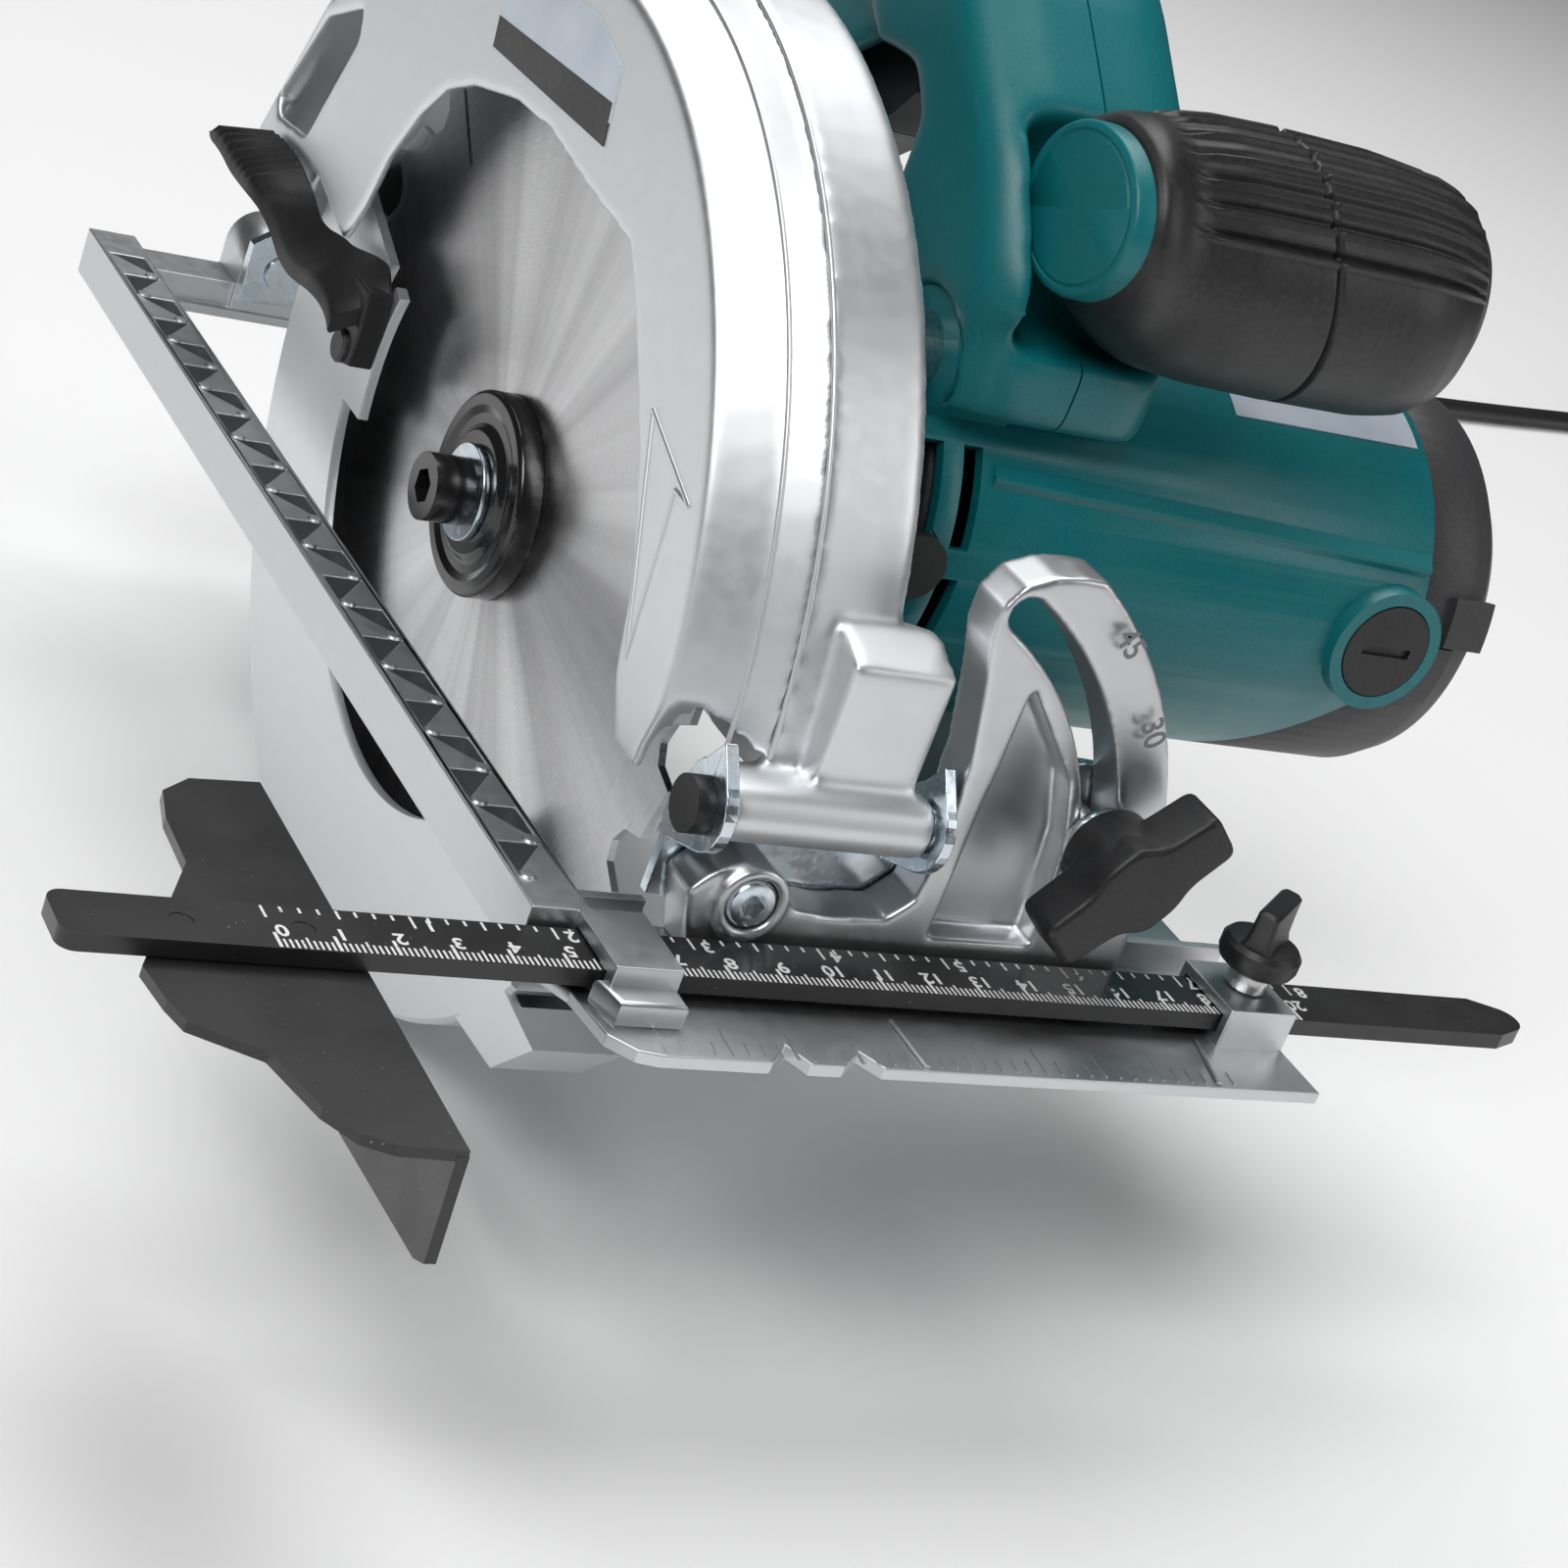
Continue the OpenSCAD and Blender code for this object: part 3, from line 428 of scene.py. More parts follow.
MATERIALS = {
    "cast_base": cast_metal("base_casting", (0.66, 0.67, 0.685), 0.38, 0.03),
    "cast_guard": cast_metal("guard_casting", (0.80, 0.815, 0.83), 0.46, 0.01),
    "zinc": plated("zinc_plating", (0.72, 0.77, 0.80), 0.22),
    "steel": bare_steel("turned_steel"),
    "blade_steel": ground_blade("ground_blade"),
    "black_steel": painted("black_enamel", (0.012, 0.012, 0.013), 0.42),
    "black_oxide": painted("black_oxide", (0.01, 0.01, 0.011), 0.2),
    "black_plastic": moulded("black_plastic", (0.007, 0.007, 0.008), (0.016, 0.016, 0.017), 0.45),
    "teal_plastic": moulded("teal_plastic", (0.0005, 0.142, 0.16), (0.001, 0.18, 0.2), 0.38),
    "grey_plastic": moulded("grey_plastic", (0.035, 0.035, 0.038), (0.055, 0.055, 0.058), 0.5),
    "rubber": moulded("soft_rubber", (0.010, 0.010, 0.011), (0.024, 0.024, 0.024), 0.42, 0.3, 900),
    "copper": bare_steel("turned_copper", (0.72, 0.38, 0.22), 0.25),
    "laminated_steel": bare_steel("laminated_steel", (0.3, 0.3, 0.31), 0.45),
    "carbon": moulded("carbon", (0.02, 0.02, 0.02), (0.035, 0.035, 0.035), 0.55),
    "cord": moulded("cord_sheath", (0.012, 0.012, 0.012), (0.02, 0.02, 0.02), 0.45),
}

# Cords: the lead along the route that the CAD tube follows, and the stored coil

FLOOR_Z = AXLE_Z - 101.5
CORD_D = 7.0
CORD_Z = FLOOR_Z + CORD_D / 2
ROUTE = [
    (72, 157, 31), (74, 166, 17), (76, 178, 0), (78, 190, -20), (82, 204, -41),
    (88, 220, -57), (98, 240, -66), (116, 264, CORD_Z), (145, 296, CORD_Z), (190, 332, CORD_Z),
    (250, 362, CORD_Z), (320, 390, CORD_Z), (400, 418, CORD_Z), (480, 444, CORD_Z),
    (560, 462, CORD_Z), (620, 470, CORD_Z), (670, 478, CORD_Z), (719, 487, CORD_Z),
    (745, 491, CORD_Z), (772, 492, CORD_Z),
]
COIL_X, COIL_Y, COIL_R = 790, 450, 38.5
# Each turn as (radius, height): it ends on the second layer's outer turn, where the plug's lead leaves
TURNS = [
    (COIL_R + CORD_D / 2, 0), (COIL_R - CORD_D / 2, 0), (COIL_R - CORD_D / 2, 1),
    (COIL_R - CORD_D / 2, 2), (COIL_R + CORD_D / 2, 2), (COIL_R + CORD_D / 2, 1),
]


def coil_points(per_turn=24):
    """The wound turns, clockwise from the lead's end; each turn eases into the next one's place."""
    points = []
    for i, (r0, l0) in enumerate(TURNS):
        r1, l1 = TURNS[min(i + 1, len(TURNS) - 1)]
        for k in range(per_turn):
            t = k / per_turn
            ease = max(0.0, (t - 0.7) / 0.3)
            ease = ease * ease * (3 - 2 * ease)
            r = r0 + (r1 - r0) * ease
            z = CORD_Z + CORD_D * (l0 + (l1 - l0) * ease)
            a = math.pi / 2 - 2 * math.pi * t
            points.append((COIL_X + r * math.cos(a), COIL_Y + r * math.sin(a), z))
    r, layer = TURNS[-1]
    for k in range(per_turn // 4 + 1):
        a = math.pi / 2 - 2 * math.pi * k / per_turn
        points.append((COIL_X + r * math.cos(a), COIL_Y + r * math.sin(a), CORD_Z + CORD_D * layer))
    return points


def spline_through(p, n):
    """Catmull-Rom points through a route, n to each stretch, as the CAD tube has them."""
    out = []
    for i in range(len(p) - 1):
        a, b, c, d = (Vector(p[min(max(i + step, 0), len(p) - 1)]) for step in (-1, 0, 1, 2))
        for k in range(n):
            t = k / n
            square, cube = 2 * a - 5 * b + 4 * c - d, 3 * b - a - 3 * c + d
            out.append(0.5 * (2 * b + (c - a) * t + square * t * t + cube * t ** 3))
    out.append(Vector(p[-1]))
    return out


def make_tie():
    """The flat tie that holds the stored coil together."""
    half, low, high = 7.7, CORD_Z - CORD_D / 2 + 0.1, CORD_Z + 2.5 * CORD_D + 0.7
    outer = filleted([(-half, low), (half, low), (half, high), (-half, high)], 4)
    rings = []
    for (r0, z0), (r1, z1) in zip(outer, inset(outer, 0.9)):
        x0, x1 = COIL_X - COIL_R + r0, COIL_X - COIL_R + r1
        rings.append([(x0, COIL_Y - 4, z0), (x0, COIL_Y + 4, z0), (x1, COIL_Y + 4, z1), (x1, COIL_Y - 4, z1)])
    tie = loft("cord_tie", rings + rings[:1], "saw_body", closed_ends=False)
    return finish_piece(tie, MATERIALS["rubber"])


def make_cord():
    """One flexible lead: along the route, round the coil and into the plug."""
    line = spline_through(ROUTE, 3)[:-1] + [Vector(p) for p in coil_points()]
    for run_out in (10, 21):
        line.append(Vector((COIL_X + COIL_R + CORD_D / 2, COIL_Y - run_out, CORD_Z + CORD_D)))
    obj = tube("cord", line, CORD_D / 2, "saw_body", sides=24)
    finish_piece(obj, MATERIALS["cord"], ("cord_lead", "cord_coil"))
    make_tie()


make_cord()

# Handles: moulded shells, rounded as one body and then parted along the seam

SPLIT_X = 72
SPLIT_GAP = 0.22
GRIP_Y, GRIP_Z = -60, 122
# The arm's front edge as (height, y), and its two sides
ARM_FRONT = [
    (60, -62), (98, -62.5), (105, -66), (112, -63), (128, -50), (137, -39.7), (153, -20), (166, 2), (175, 16),
]
ARM_LEFT, ARM_RIGHT, ARM_BACK = 47.6, 96.4, 160


def mesh_of(name, *nodes):
    """One mesh holding copies of CAD nodes."""
    bm = bmesh.new()
    for node in nodes:
        bm.from_mesh(NODES[node].data)
    mesh = bpy.data.meshes.new(name)
    bm.to_mesh(mesh)
    bm.free()
    return mesh


def baked(mesh, *setups):
    """The mesh with modifiers applied; each setup is (kind, settings)."""
    obj = bpy.data.objects.new("baking", mesh)
    bpy.context.scene.collection.objects.link(obj)
    for kind, settings in setups:
        mod = obj.modifiers.new(kind, kind)
        for key, value in settings.items():
            setattr(mod, key, value)
    graph = bpy.context.evaluated_depsgraph_get()
    made = bpy.data.meshes.new_from_object(obj.evaluated_get(graph))
    bpy.data.objects.remove(obj)
    return made


def arm_mould():
    """The space that holds the handles: its front corners are round all the way up the arm."""
    corner = 15
    rings = []
    for z, front in ARM_FRONT:
        ring = [(ARM_LEFT - 1.6, ARM_BACK)]
        for k in range(9):
            a = math.pi / 2 * k / 8
            ring.append((ARM_LEFT + corner * (1 - math.cos(a)), front + corner * (1 - math.sin(a))))
        for k in range(9):
            a = math.pi / 2 * (1 - k / 8)
            ring.append((ARM_RIGHT - corner * (1 - math.cos(a)), front + corner * (1 - math.sin(a))))
        ring.append((ARM_RIGHT + 1.6, ARM_BACK))
        rings.append([(x, y, z) for x, y in ring])
    return loft("arm_mould", rings, "saw_body")


def half_of(mesh, name, x, low_side):
    """The part of a closed mesh on one side of the plane at x, closed along the cut."""
    bm = bmesh.new()
    bm.from_mesh(mesh)
    cut = bmesh.ops.bisect_plane(
        bm, geom=bm.verts[:] + bm.edges[:] + bm.faces[:], plane_co=at(x, 0, 0), plane_no=(1, 0, 0),
        clear_outer=low_side, clear_inner=not low_side,
    )
    rim = [e for e in cut["geom_cut"] if isinstance(e, bmesh.types.BMEdge)]
    bmesh.ops.triangle_fill(bm, edges=rim, use_beauty=True)
    bmesh.ops.recalc_face_normals(bm, faces=bm.faces)
    made = bpy.data.meshes.new(name)
    bm.to_mesh(made)
    bm.free()
    return made


def make_handles():
    """Both shells, skinned as one body so that their surfaces run on across the parting line."""
    mould = arm_mould()
    raw = mesh_of("handles", "handle_left", "handle_right")
    cut = baked(raw, ("BOOLEAN", {"operation": "INTERSECT", "object": mould, "solver": "EXACT"}))
    skin = baked(cut, ("REMESH", {"mode": "VOXEL", "voxel_size": 1.4 * MM}),
                 ("SMOOTH", {"factor": 0.5, "iterations": 26}))
    bpy.data.objects.remove(mould)
    for name, low in (("handle_left", True), ("handle_right", False)):
        x = SPLIT_X - SPLIT_GAP if low else SPLIT_X + SPLIT_GAP
        obj = link(name + "_shell", half_of(skin, name + "_shell", x, low), "saw_body")
        smooth_shade(obj, math.radians(50))
        finish_piece(obj, MATERIALS["teal_plastic"], (name,))


def smoothstep(a, b, x):
    t = min(1.0, max(0.0, (x - a) / (b - a)))
    return t * t * (3 - 2 * t)


# The grip's half height along its length, as (x, half height)
GRIP_TALL = [
    (60.6, 15.6), (62, 17.6), (65, 19.6), (69, 21.2), (74, 22.6), (82, 23.6),
    (96, 24), (118, 23.8), (132, 22.6), (140, 20.6), (144.5, 17), (146.6, 11),
]
RIB_ANGLES = [math.radians(67 - 13.3 * k) for k in range(8)]
SEAM_X = 98
# Its end at the handle lies a little forward of its axis and above it
ROOT_Y, ROOT_Z = GRIP_Y - 3, GRIP_Z + 4
# The plug's outline as (x, share of its full size), with a ring groove near its edge
PLUG_PROFILE = [
    (62, 0.9), (62, 1), (57.4, 1), (56.9, 0.985), (56.6, 0.95),
    (56.6, 0.9), (56.9, 0.88), (56.9, 0.86), (56.6, 0.84), (56.6, 0.02),
]
PLUG_WIDE, PLUG_TALL = 18.4, 15.4


def lerp_value(points, x):
    """Straight interpolation through (x, value) points."""
    for (x0, v0), (x1, v1) in zip(points, points[1:]):
        if x <= x1:
            return v0 + (v1 - v0) * (x - x0) / (x1 - x0)
    return points[-1][1]


def grip_radius(x, angle):
    """The grip's radius at a station, with its ribs, the grooves beside them and the parting groove."""
    tall = lerp_value(GRIP_TALL, x)
    wide = tall * (0.96 - 0.16 * smoothstep(120, 147, x)) + 3 * (1 - smoothstep(61, 70, x))
    r = 1 / math.hypot(math.cos(angle) / tall, math.sin(angle) / wide)
    along = smoothstep(68, 76, x) * (1 - smoothstep(136, 143, x))
    for rib in RIB_ANGLES:
        off = math.degrees(angle - rib)
        r += along * (math.exp(-((off / 1.2) ** 4)) - 1.1 * math.exp(-(((off + 3.6) / 1.6) ** 2)))
    return r - 1.1 * math.exp(-(((x - SEAM_X) / 0.45) ** 2))


def make_grip_plug():
    """The flat oval end that the rubber closes round, on the handle's side."""
    rings = []
    turn = [2 * math.pi * k / 96 for k in range(96)]
    for x, size in PLUG_PROFILE:
        wide, tall = PLUG_WIDE * size, PLUG_TALL * size
        rings.append([(x, ROOT_Y + wide * math.sin(a), ROOT_Z + tall * math.cos(a)) for a in turn])
    plug = loft("front_grip_plug", rings, "saw_body", smooth=40)
    finish_piece(plug, MATERIALS["teal_plastic"], ("front_handle",))


def make_front_grip():
    """The soft front grip, with lengthwise ribs and a parting groove round it."""
    stations = [60.6 + 0.5 * k for k in range(6)] + [64 + 1.5 * k for k in range(21)]
    stations += [SEAM_X + 0.3 * k for k in range(-6, 7)] + [100.5 + 1.5 * k for k in range(26)]
    stations += [140 + 0.55 * k for k in range(13)]
    steps = 420
    turn = [2 * math.pi * k / steps - math.pi for k in range(steps)]
    rings = []
    for r in (9, 13):
        rings.append([(60.4, ROOT_Y - r * math.sin(a), ROOT_Z + r * math.cos(a)) for a in turn])
    for x in sorted(set(stations)):
        ring = []
        shift = 1 - smoothstep(60, 74, x)
        y, z = GRIP_Y - 3 * shift, GRIP_Z + 4 * shift
        for a in turn:
            r = grip_radius(x, a)
            lean = 6 * (1 - math.cos(a)) * math.sin(math.pi * min(1, max(0, (x - 60.6) / 86)))
            ring.append((x + lean, y - r * math.sin(a), z + r * math.cos(a)))
        rings.append(ring)
    last = rings[-1]
    for s in (0.75, 0.4, 0.02):
        end = 147 - 0.4 * s
        rings.append([(end, GRIP_Y + (y - GRIP_Y) * s, GRIP_Z + (z - GRIP_Z) * s) for _, y, z in last])
    obj = loft("front_grip_rubber", rings, "saw_body", smooth=60)
    finish_piece(obj, MATERIALS["rubber"], ("front_grip",))


# Lower guard's lever: a curved strip whose pad has ribs across it

# Its left and right edges, from the pad's tip to the root
LEVER = [
    ((-25, 134, 48.2), (-14.7, 126.5, 51.4)), ((-25, 131.5, 49.5), (-14.7, 124.2, 53.2)),
    ((-25, 124.5, 49.5), (-14.7, 118, 54.2)), ((-25, 116.8, 48.6), (-14.7, 111.5, 54.6)),
    ((-25, 110.4, 48.4), (-14.7, 105, 54.4)), ((-25, 103.6, 48.5), (-14.7, 99.5, 53.4)),
    ((-24, 98.6, 47.7), (-14.7, 93.3, 52)), ((-22.3, 96, 45.6), (-14.7, 88.5, 50.3)),
    ((-21, 93.4, 43.2), (-14.7, 84, 49.4)), ((-20.4, 90, 41.2), (-14.7, 79, 49.6)),
    ((-20.2, 84, 40.2), (-14.6, 74, 50.6)), ((-20, 77.4, 40.6), (-14.4, 70, 51.2)),
    ((-20, 71.1, 41.6), (-14.2, 66, 51.6)), ((-20, 64, 42), (-9.4, 61, 51.4)),
    ((-20, 58.5, 41.2), (-9.4, 55.6, 49.2)), ((-20, 55.2, 39.4), (-9.4, 52.6, 46.5)),
]


def make_lever():
    """The strip with its ribbed pad, the web that holds it and the boss on its pin."""
    edge_l = spline_through([p[0] for p in LEVER], 8)
    edge_r = spline_through([p[1] for p in LEVER], 8)
    down = Vector((0, 0, -1))
    rings = []
    for i, (left, right) in enumerate(zip(edge_l, edge_r)):
        thick = 3.9 * smoothstep(-6, 10, i)
        inside = smoothstep(5, 8, i) * (1 - smoothstep(38, 41, i))
        rib = 0.55 * inside * (1 if (i // 2) % 2 else -0.3)
        out = (right - left).normalized()
        lift = Vector((0, 0, rib))
        section = [
            left + out * 0.9 + lift, left.lerp(right, 0.5) + lift, right - out * 0.9 + lift,
            right + down * 0.9, right + down * (thick - 0.7), right - out * 0.8 + down * thick,
            left + out * 0.8 + down * thick, left + down * (thick - 0.7), left + down * 0.9,
        ]
        rings.append([tuple(p) for p in section])
    obj = loft("guard_lever_strip", rings, "lower_guard", smooth=35)
    finish_piece(obj, MATERIALS["black_plastic"], ("guard_lever",))
    web = pillow(
        "guard_lever_root",
        [(52.4, 46.8), (51.6, 38), (52.4, 30.6), (57.5, 29.2), (61.4, 31), (62, 35), (64, 38.5), (64, 47)],
        -15, -9.4, 0.8, "lower_guard",
    )
    finish_piece(web, MATERIALS["black_plastic"])
    boss = lathe_x("guard_lever_boss", [(0.01, -16.2), (3, -16.2), (3.5, -15.7), (3.5, -9.6), (0.01, -9.6)],
                   57.6, 32.8, "lower_guard", steps=48)
    finish_piece(boss, MATERIALS["grey_plastic"])


# Knobs

TILT_X, TILT_Z = 5.4, 14.2


def knob_place():
    lo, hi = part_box("bevel_washer")
    middle = (lo + hi) / 2 - ORIGIN
    return middle.x / MM, middle.z / MM


def make_bevel_knob():
    """Two wings either side of a round hub."""
    x0, z0 = knob_place()
    wing = [(16.2, 9.4), (9, 16.2), (1, 8.6), (-4.4, 8), (-8.6, 2.6), (-9.8, -1.8)]
    outline = filleted([(x0 + x, z0 + z) for x, z in wing + [(-x, -z) for x, z in wing]], 2.2)
    top = pillow("bevel_knob_wings", outline, -138, -127.5, 1.3, "bevel_knob", axis="y")
    finish_piece(top, MATERIALS["black_plastic"], ("bevel_wing",))
    profile = [(3.2, -123.3), (7.8, -123.3), (8.8, -124.4), (9, -130), (8.4, -133.5), (3.2, -134)]
    hub = lathe_y("bevel_knob_hub", profile, x0, z0, "bevel_knob")
    finish_piece(hub, MATERIALS["black_plastic"])


def make_guide_knob():
    """A round foot that a narrow wing grows out of."""
    x0, y0 = 108, -129
    profile = [(3, 14.1), (5.6, 14.1), (7, 15), (7.6, 16.4), (7.6, 18.6), (6.8, 19.6), (3, 20.2)]
    foot = lathe_z("guide_knob_foot", profile, x0, y0, "guide_knob")
    finish_piece(foot, MATERIALS["black_plastic"], ("guide_wing",))
    turn = Matrix.Rotation(math.radians(39), 2)
    sections = (
        (17, 6.6, 4.6), (19.4, 6.2, 3.2), (21, 6.3, 2.6), (24, 7, 2.3), (27.2, 7.8, 2.1), (27.9, 7.2, 1.5),
    )
    rings = []
    for z, long, thick in sections:
        corners = filleted([(long, thick), (-long, thick), (-long, -thick), (long, -thick)], 0.9)
        ring = [turn @ Vector(p) for p in corners]
        rings.append([(x0 + p.x, y0 + p.y, z) for p in ring])
    wing = loft("guide_knob_wing", rings, "guide_knob", smooth=35)
    finish_piece(wing, MATERIALS["black_plastic"])


# Castings: the CAD solid skinned again, so that its edges are as round as a casting's

# Each node's voxel size in millimetres, and its rounds of smoothing
RECAST = {"bevel_quadrant": (0.6, 8), "guard_cover": (0.75, 12), "gear_housing": (1.0, 6)}


def recast(node, voxel, rounds):
    raw = mesh_of(node + "_cast", node)
    skin = baked(
        raw,
        ("WELD", {"merge_threshold": 0.01 * MM}),
        ("REMESH", {"mode": "VOXEL", "voxel_size": voxel * MM}),
        ("SMOOTH", {"factor": 0.5, "iterations": rounds}),
    )
    skin.name = node + "_cast"
    obj = link(node + "_cast", skin, BODY_OF[node])
    smooth_shade(obj, math.radians(55))
    finish_piece(obj, MATERIALS[SLOT_OF[node]], (node,))


def make_pivot_screw():
    """The front pivot screw's domed head with its hexagon socket."""
    lo, hi = (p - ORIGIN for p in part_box("front_pivot_screw"))
    x, z = (lo.x + hi.x) / 2 / MM, (lo.z + hi.z) / 2 / MM
    front, back = lo.y / MM, hi.y / MM
    turn = [math.radians(7.5 * k) for k in range(48)]
    rings = []
    for r, y in (
        (3, back), (3, front + 2.8), (4.6, front + 2.8),
        (4.6, front + 0.9), (4.1, front + 0.25), (3.3, front + 0.02),
    ):
        rings.append([(x + r * math.cos(a), y, z + r * math.sin(a)) for a in turn])
    sixth = math.radians(60)
    for depth in (0.02, 2):
        ring = []
        for a in turn:
            r = 2 / math.cos(a % sixth - sixth / 2)
            ring.append((x + r * math.cos(a), front + depth, z + r * math.sin(a)))
        rings.append(ring)
    screw = loft("front_pivot_head", rings, "base", smooth=35)
    finish_piece(screw, MATERIALS["zinc"], ("front_pivot_screw",))


# Rip guide: its two painted scales

BAR_TOP, BAR_FRONT, BAR_BACK = 7.5, -135.5, -123
SCALE_ZERO = -81.5
INCH = 25.4


def ink():
    s = Shader("scale_ink", (0.8, 0.8, 0.79), 0.55)
    s.rough(s.ramp(s.noise(900, 2), 0.3, 0.7, 0.45, 0.65))
    worn = s.noise(2200, 3)
    s.color(s.mix(s.ramp(worn, 0.62, 0.72, 0, 1), (0.82, 0.82, 0.81), (0.25, 0.25, 0.25)))
    return s.mat


def flat_marks(name, marks, z, body, material):
    """Painted marks, each a quad given by its four corners in (x, y)."""
    verts, faces = [], []
    for corners in marks:
        base = len(verts)
        verts += [at(x, y, z) for x, y in corners] + [at(x, y, z + 0.03) for x, y in corners]
        faces += [(base + 4, base + 5, base + 6, base + 7), (base + 3, base + 2, base + 1, base)]
        faces += [(base + k, base + (k + 1) % 4, base + 4 + (k + 1) % 4, base + 4 + k) for k in range(4)]
    mesh = bpy.data.meshes.new(name)
    mesh.from_pydata([tuple(v) for v in verts], [], faces)
    obj = link(name, mesh, body)
    mesh.materials.append(material)
    return obj


def lettering(name, text, place, right, up, size, body, material):
    """Numerals as a flat solid: right and up are the directions of the reading line and the digits."""
    data = bpy.data.curves.new(name, "FONT")
    data.body = text
    data.size = size * MM
    data.align_x = "CENTER"
    data.align_y = "CENTER"
    data.extrude = 0.02 * MM
    data.offset = 0.1 * MM
    turn = Matrix((Vector(right), Vector(up), Vector(right).cross(Vector(up)))).transposed().to_4x4()
    carrier = bpy.data.objects.new(name, data)
    bpy.context.scene.collection.objects.link(carrier)
    graph = bpy.context.evaluated_depsgraph_get()
    mesh = bpy.data.meshes.new_from_object(carrier.evaluated_get(graph))
    bpy.data.objects.remove(carrier)
    mesh.transform(Matrix.Translation(place) @ turn)
    obj = link(name, mesh, body)
    mesh.materials.clear()
    mesh.materials.append(material)
    return obj


def tick(x, half_wide, y0, y1):
    return [(x - half_wide, y0), (x + half_wide, y0), (x + half_wide, y1), (x - half_wide, y1)]


def make_scales():
    """Millimetre ticks with centimetre numerals along the front edge, eighths of an inch along the back."""
    white = ink()
    marks = []
    for k in range(201):
        length = 4.4 if k % 10 == 0 else (3.4 if k % 5 == 0 else 2.6)
        half_wide = 0.3 if k % 10 == 0 else 0.2
        marks.append(tick(SCALE_ZERO + k, half_wide, BAR_FRONT + 0.25, BAR_FRONT + length))
    for k in range(65):
        length = 3.4 if k % 8 == 0 else (2.4 if k % 4 == 0 else 1.5)
        marks.append(tick(SCALE_ZERO + INCH / 8 * k, 0.24, BAR_BACK - 0.4 - length, BAR_BACK - 0.4))
    flat_marks("scale_ticks", marks, BAR_TOP + 0.005, "guide", white)
    right, up = (-1, 0, 0), (0, -1, 0)
    for k in range(21):
        place = at(SCALE_ZERO + 10 * k + 1.5, BAR_FRONT + 5.2, BAR_TOP + 0.04)
        lettering(f"scale_cm_{k}", str(k), place, right, up, 4.4, "guide", white)
    for k in range(1, 9):
        place = at(SCALE_ZERO + INCH * k + 2.8, BAR_BACK - 2.6, BAR_TOP + 0.03)
        lettering(f"scale_in_{k}", str(k), place, right, up, 4.4, "guide", white)


def make_rivets():
    """Rivets set flush in the bar; only their heads under the fence stand proud."""
    lo, hi = (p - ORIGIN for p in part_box("fence_rivets"))
    profile = [(0.01, 1.05), (2.6, 1.05), (3.3, 1.5), (3.4, 2), (2, 2), (2, 7.3), (0.01, 7.3)]
    for k, x in enumerate((lo.x / MM + 3.4, hi.x / MM - 3.4)):
        pin = lathe_z(f"fence_rivet_{k}", profile, x, (lo.y + hi.y) / 2 / MM, "guide", steps=40)
        finish_piece(pin, MATERIALS["black_steel"], ("fence_rivets",))


# Quadrant numerals, raised on the outer rim: each as (degrees, x, z)

QUADRANT_MARKS = (("45", 57.7, 71.2), ("30", 69.8, 55.2))


def make_quadrant_numerals():
    dark = painted("numeral_relief", (0.16, 0.17, 0.18), 0.5)
    for text, x, z in QUADRANT_MARKS:
        a = math.atan2(z - TILT_Z, x - TILT_X)
        tangent = (math.sin(a), 0, -math.cos(a))
        outward = (math.cos(a), 0, math.sin(a))
        lettering(f"bevel_mark_{text}", text, at(x, -122.84, z), tangent, outward, 6, "base", dark)


# Motor housing: the ridge along its side, the blank plates and the cap's clips

ROTOR_Y, ROTOR_Z, MOTOR_R = -20.5, 51.5, 41.5


def on_motor(x, degrees, r):
    """A point at a radius and angle about the motor's axis."""
    a = math.radians(degrees)
    return (x, ROTOR_Y + r * math.cos(a), ROTOR_Z + r * math.sin(a))


def make_ridge():
    rings = []
    for k in range(25):
        x = 65.6 + (172.4 - 65.6) * k / 24
        top = 146.8 + 5.2 * k / 24
        section = ((0, -0.4), (0.6, 0.15), (4.6, 1.25), (5.6, 1.05), (7.5, -0.4))
        rings.append([on_motor(x, top + turn, MOTOR_R + rise) for turn, rise in section])
    obj = loft("motor_ridge", rings, "saw_body", smooth=15)
    finish_piece(obj, MATERIALS["teal_plastic"])


def motor_patch(name, x0, x1, a0, a1, r, material, thick=0.25):
    """A thin curved plate that lies on the motor housing."""
    rings = []
    corners = ((x0, -0.3), (x1, -0.3), (x1, thick), (x0, thick))
    for k in range(17):
        a = a0 + (a1 - a0) * k / 16
        rings.append([on_motor(x, a, r + rise) for x, rise in corners])
    obj = loft(name, rings, "saw_body", smooth=20)
    return finish_piece(obj, material)


def blank_label():
    s = Shader("blank_label", (0.62, 0.64, 0.66), 0.32)
    s.bsdf.inputs["Coat Weight"].default_value = 0.4
    s.color(s.mix(s.ramp(s.noise(70, 2), 0.3, 0.7, 0, 1), (0.50, 0.57, 0.66), (0.62, 0.68, 0.75)))
    s.bump(s.noise(300, 2), 0.05, 0.03)
    return s.mat


def make_guard_label(material):
    """The upper guard's blank plate: a light field over a dark band."""
    field = rounded([(38, 124), (34.8, 104.8), (-22, 106.4), (-17, 126)], 1)
    obj = pillow("guard_plate", field, -13.72, -13.4, 0.08, "saw_body", steps=2)
    finish_piece(obj, material)
    band = [(34.4, 105.6), (-21, 107), (-19.4, 114.6), (35.6, 111.4)]
    dark = pillow("guard_plate_band", band, -13.78, -13.5, 0.03, "saw_body", steps=1)
    finish_piece(dark, MATERIALS["grey_plastic"])


